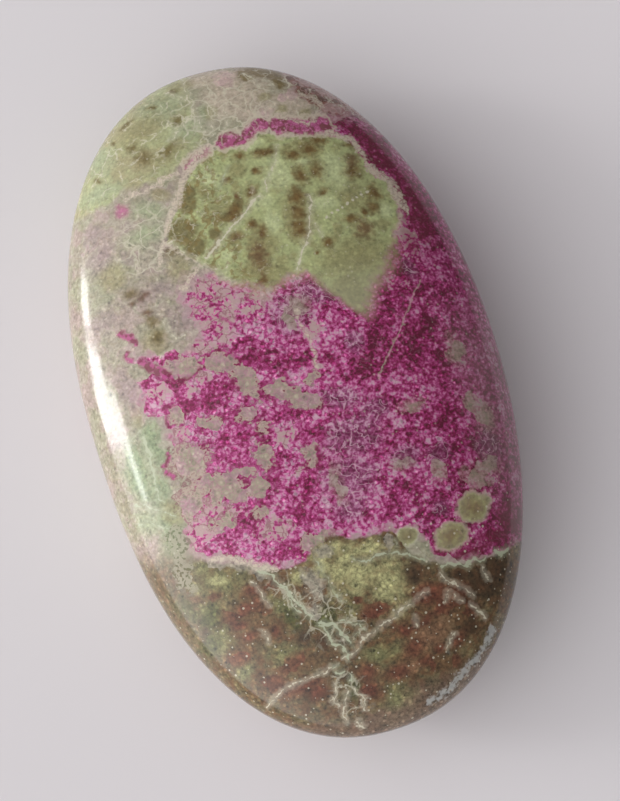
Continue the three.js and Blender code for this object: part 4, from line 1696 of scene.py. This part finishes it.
    def _plan_place(self, bench: Bench, inside: Signal, ripple: Signal) -> Signal:
        """The place in the plan: straight down through the crown, dipping and folding below the girdle.

        Args:
            bench: The shader tree.
            inside: The place in the stone, in millimetres.
            ripple: The shift of every edge.

        Returns:
            The place in the plan, with crinkled edges and no height.
        """
        _, _, height = bench.split(inside)
        depth = (self.girdle_height - height).most(0.0)
        swirl = bench.vector("SUBTRACT", bench.noise(inside, self.fold_size, 1, "Color"), HALVES)
        fold = bench.vector("MULTIPLY_ADD", swirl, (2 * self.fold,) * 3, (*self.dip, 0.0))
        moved = bench.vector("ADD", inside, bench.scaled(fold, depth))
        moved = bench.vector("MULTIPLY_ADD", ripple, (self.crinkle,) * 3, moved)
        return bench.vector("MULTIPLY_ADD", moved, (1.0, 1.0, 0.0), self.pattern_offset)

    def _relief(self, bench: Bench, inside: Signal) -> Signal:
        """The polish's faint waviness and pits.

        Args:
            bench: The shader tree.
            inside: The place in the stone, in millimetres.

        Returns:
            The normal.
        """
        height = bench.noise(inside, 3.0, 3) * 1.6 + bench.noise(inside, 0.3, 1) * 0.25
        sockets = {"Strength": 0.5, "Distance": self.relief, "Height": height}
        return bench.add("ShaderNodeBump", None, sockets)


# ---- The pieces ------------------------------------------------------------------------------------------


@dataclass
class PalmStone:
    """The stone: its form, its finish and its place on the frame."""

    form: StoneForm = field(default_factory=StoneForm)
    finish: PolishedSerpentine = field(default_factory=PolishedSerpentine)

    def build(self) -> bpy.types.Object:
        """Makes the stone and puts it in the solid's place.

        Returns:
            The stone.
        """
        low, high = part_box(NODE_NAME)
        stone = self.form.build(Vector(low), Vector(high), self.finish.build())
        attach(stone, "root")
        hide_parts(NODE_NAME)
        return stone


@dataclass(frozen=True)
class Pane:
    """A pane of light as the stone sees it, in degrees."""

    turn: float  # From the left.
    lift: float  # Above the floor.
    span: float  # Its width.
    rise: float  # Its height.
    radiance: float


@dataclass
class Studio:
    """A pale floor, soft light from the left, a pale surround and the camera."""

    floor_side: float = 6.0
    floor_colour: Colour = (0.79, 0.76, 0.775)
    floor_roughness: float = 0.85
    floor_shine: float = 0.1
    light_distance: float = 1.2
    light_gain: float = 4.0  # Watts for a square metre of light and a radiance of 1.
    panes: tuple[Pane, ...] = (
        Pane(9.6, 27.5, 5.0, 4.5, 9.0),
        Pane(15.2, 15.5, 5.8, 31.0, 9.0),
        Pane(20.8, 12.5, 5.0, 17.0, 9.0),
        Pane(30.0, 9.0, 8.0, 12.0, 8.5),
    )
    light_side: tuple[float, float, float] = (-0.97, -0.24, 0.0)
    surround: tuple[tuple[float, Colour], ...] = (
        (0.0, (0.16, 0.16, 0.16)),
        (0.25, (0.22, 0.22, 0.22)),
        (0.5, (0.39, 0.385, 0.39)),
        (0.75, (1.16, 1.14, 1.16)),
        (1.0, (2.85, 2.80, 2.85)),
    )
    camera_target: tuple[float, float, float] = (1.245, -1.377, 9.0)
    camera_turn: float = -16.6
    camera_lift: float = 76.0
    camera_distance: float = 240.0
    lens: float = 99.4
    sensor: float = 36.0
    clip: float = 0.01

    def build(self) -> None:
        """Sets up the floor, the lights, the surround and the camera."""
        self._floor()
        for number, pane in enumerate(self.panes, 1):
            self._light(f"pane_{number}", pane)
        self._world()
        self._camera()
        bpy.context.scene.view_settings.view_transform = "Standard"

    def _floor(self) -> bpy.types.Object:
        """Makes the floor.

        Returns:
            The floor, with its top at the height of the stone's rest.
        """
        half = self.floor_side / 2
        mesh = bpy.data.meshes.new("floor")
        corners = [(-half, -half, 0.0), (half, -half, 0.0), (half, half, 0.0), (-half, half, 0.0)]
        mesh.from_pydata(corners, [], [(0, 1, 2, 3)])
        material = bpy.data.materials.new("floor_card")
        material.use_nodes = True
        shader = material.node_tree.nodes["Principled BSDF"]
        shader.inputs["Base Color"].default_value = (*self.floor_colour, 1.0)
        shader.inputs["Roughness"].default_value = self.floor_roughness
        shader.inputs["Specular IOR Level"].default_value = self.floor_shine
        mesh.materials.append(material)
        floor = bpy.data.objects.new("floor", mesh)
        bpy.context.scene.collection.objects.link(floor)
        return floor

    def _light(self, name: str, pane: Pane) -> None:
        """Hangs one pane of light.

        Args:
            name: The light's name.
            pane: Where it stands and how large it looks.
        """
        turn, lift = math.radians(pane.turn), math.radians(pane.lift)
        toward = Vector((-math.cos(turn) * math.cos(lift), math.sin(turn) * math.cos(lift), math.sin(lift)))
        light = bpy.data.lights.new(name, "AREA")
        light.shape = "RECTANGLE"
        light.size = self.light_distance * math.radians(pane.span) * math.cos(lift)
        light.size_y = self.light_distance * math.radians(pane.rise)
        light.energy = pane.radiance * light.size * light.size_y * self.light_gain
        lamp = bpy.data.objects.new(name, light)
        lamp.location = toward * self.light_distance
        lamp.rotation_euler = toward.to_track_quat("Z", "Y").to_euler()
        bpy.context.scene.collection.objects.link(lamp)

    def _world(self) -> None:
        """Makes the surround: bright on the light's side, darker on the other."""
        world = bpy.data.worlds.new("surround")
        world.use_nodes = True
        tree = world.node_tree
        tree.nodes.clear()
        bench = Bench(tree)
        direction = bench.add("ShaderNodeTexCoord", None, None, "Generated")
        toward = bench.vector("DOT_PRODUCT", direction, self.light_side)
        colour = bench.add("ShaderNodeValToRGB", {"stops": self.surround}, [toward * 0.5 + 0.5])
        background = bench.node("ShaderNodeBackground", None, {"Color": colour, "Strength": 1.0})
        output = bench.node("ShaderNodeOutputWorld")
        tree.links.new(background.outputs["Background"], output.inputs["Surface"])
        bpy.context.scene.world = world

    def _camera(self) -> None:
        """Sets up the camera."""
        turn, lift = math.radians(self.camera_turn), math.radians(self.camera_lift)
        back = Vector((math.sin(turn) * math.cos(lift), -math.cos(turn) * math.cos(lift), math.sin(lift)))
        data = bpy.data.cameras.new("camera")
        data.lens = self.lens
        data.sensor_width = self.sensor
        data.clip_start = self.clip
        camera = bpy.data.objects.new("camera", data)
        camera.location = (Vector(self.camera_target) + back * self.camera_distance) * MM
        camera.rotation_euler = back.to_track_quat("Z", "Y").to_euler()
        bpy.context.scene.collection.objects.link(camera)
        bpy.context.scene.camera = camera


def main() -> None:
    """Builds the stone and its studio, and reports each piece."""
    logging.basicConfig(level=logging.INFO, format="%(name)s: %(message)s")
    stone = PalmStone().build()
    nodes = sum(len(group.nodes) for group in bpy.data.node_groups)
    LOG.info("%s: %d faces, %d pattern nodes", stone.name, len(stone.data.polygons), nodes)
    Studio().build()
    LOG.info("studio ready")


if __name__ == "__main__":
    main()
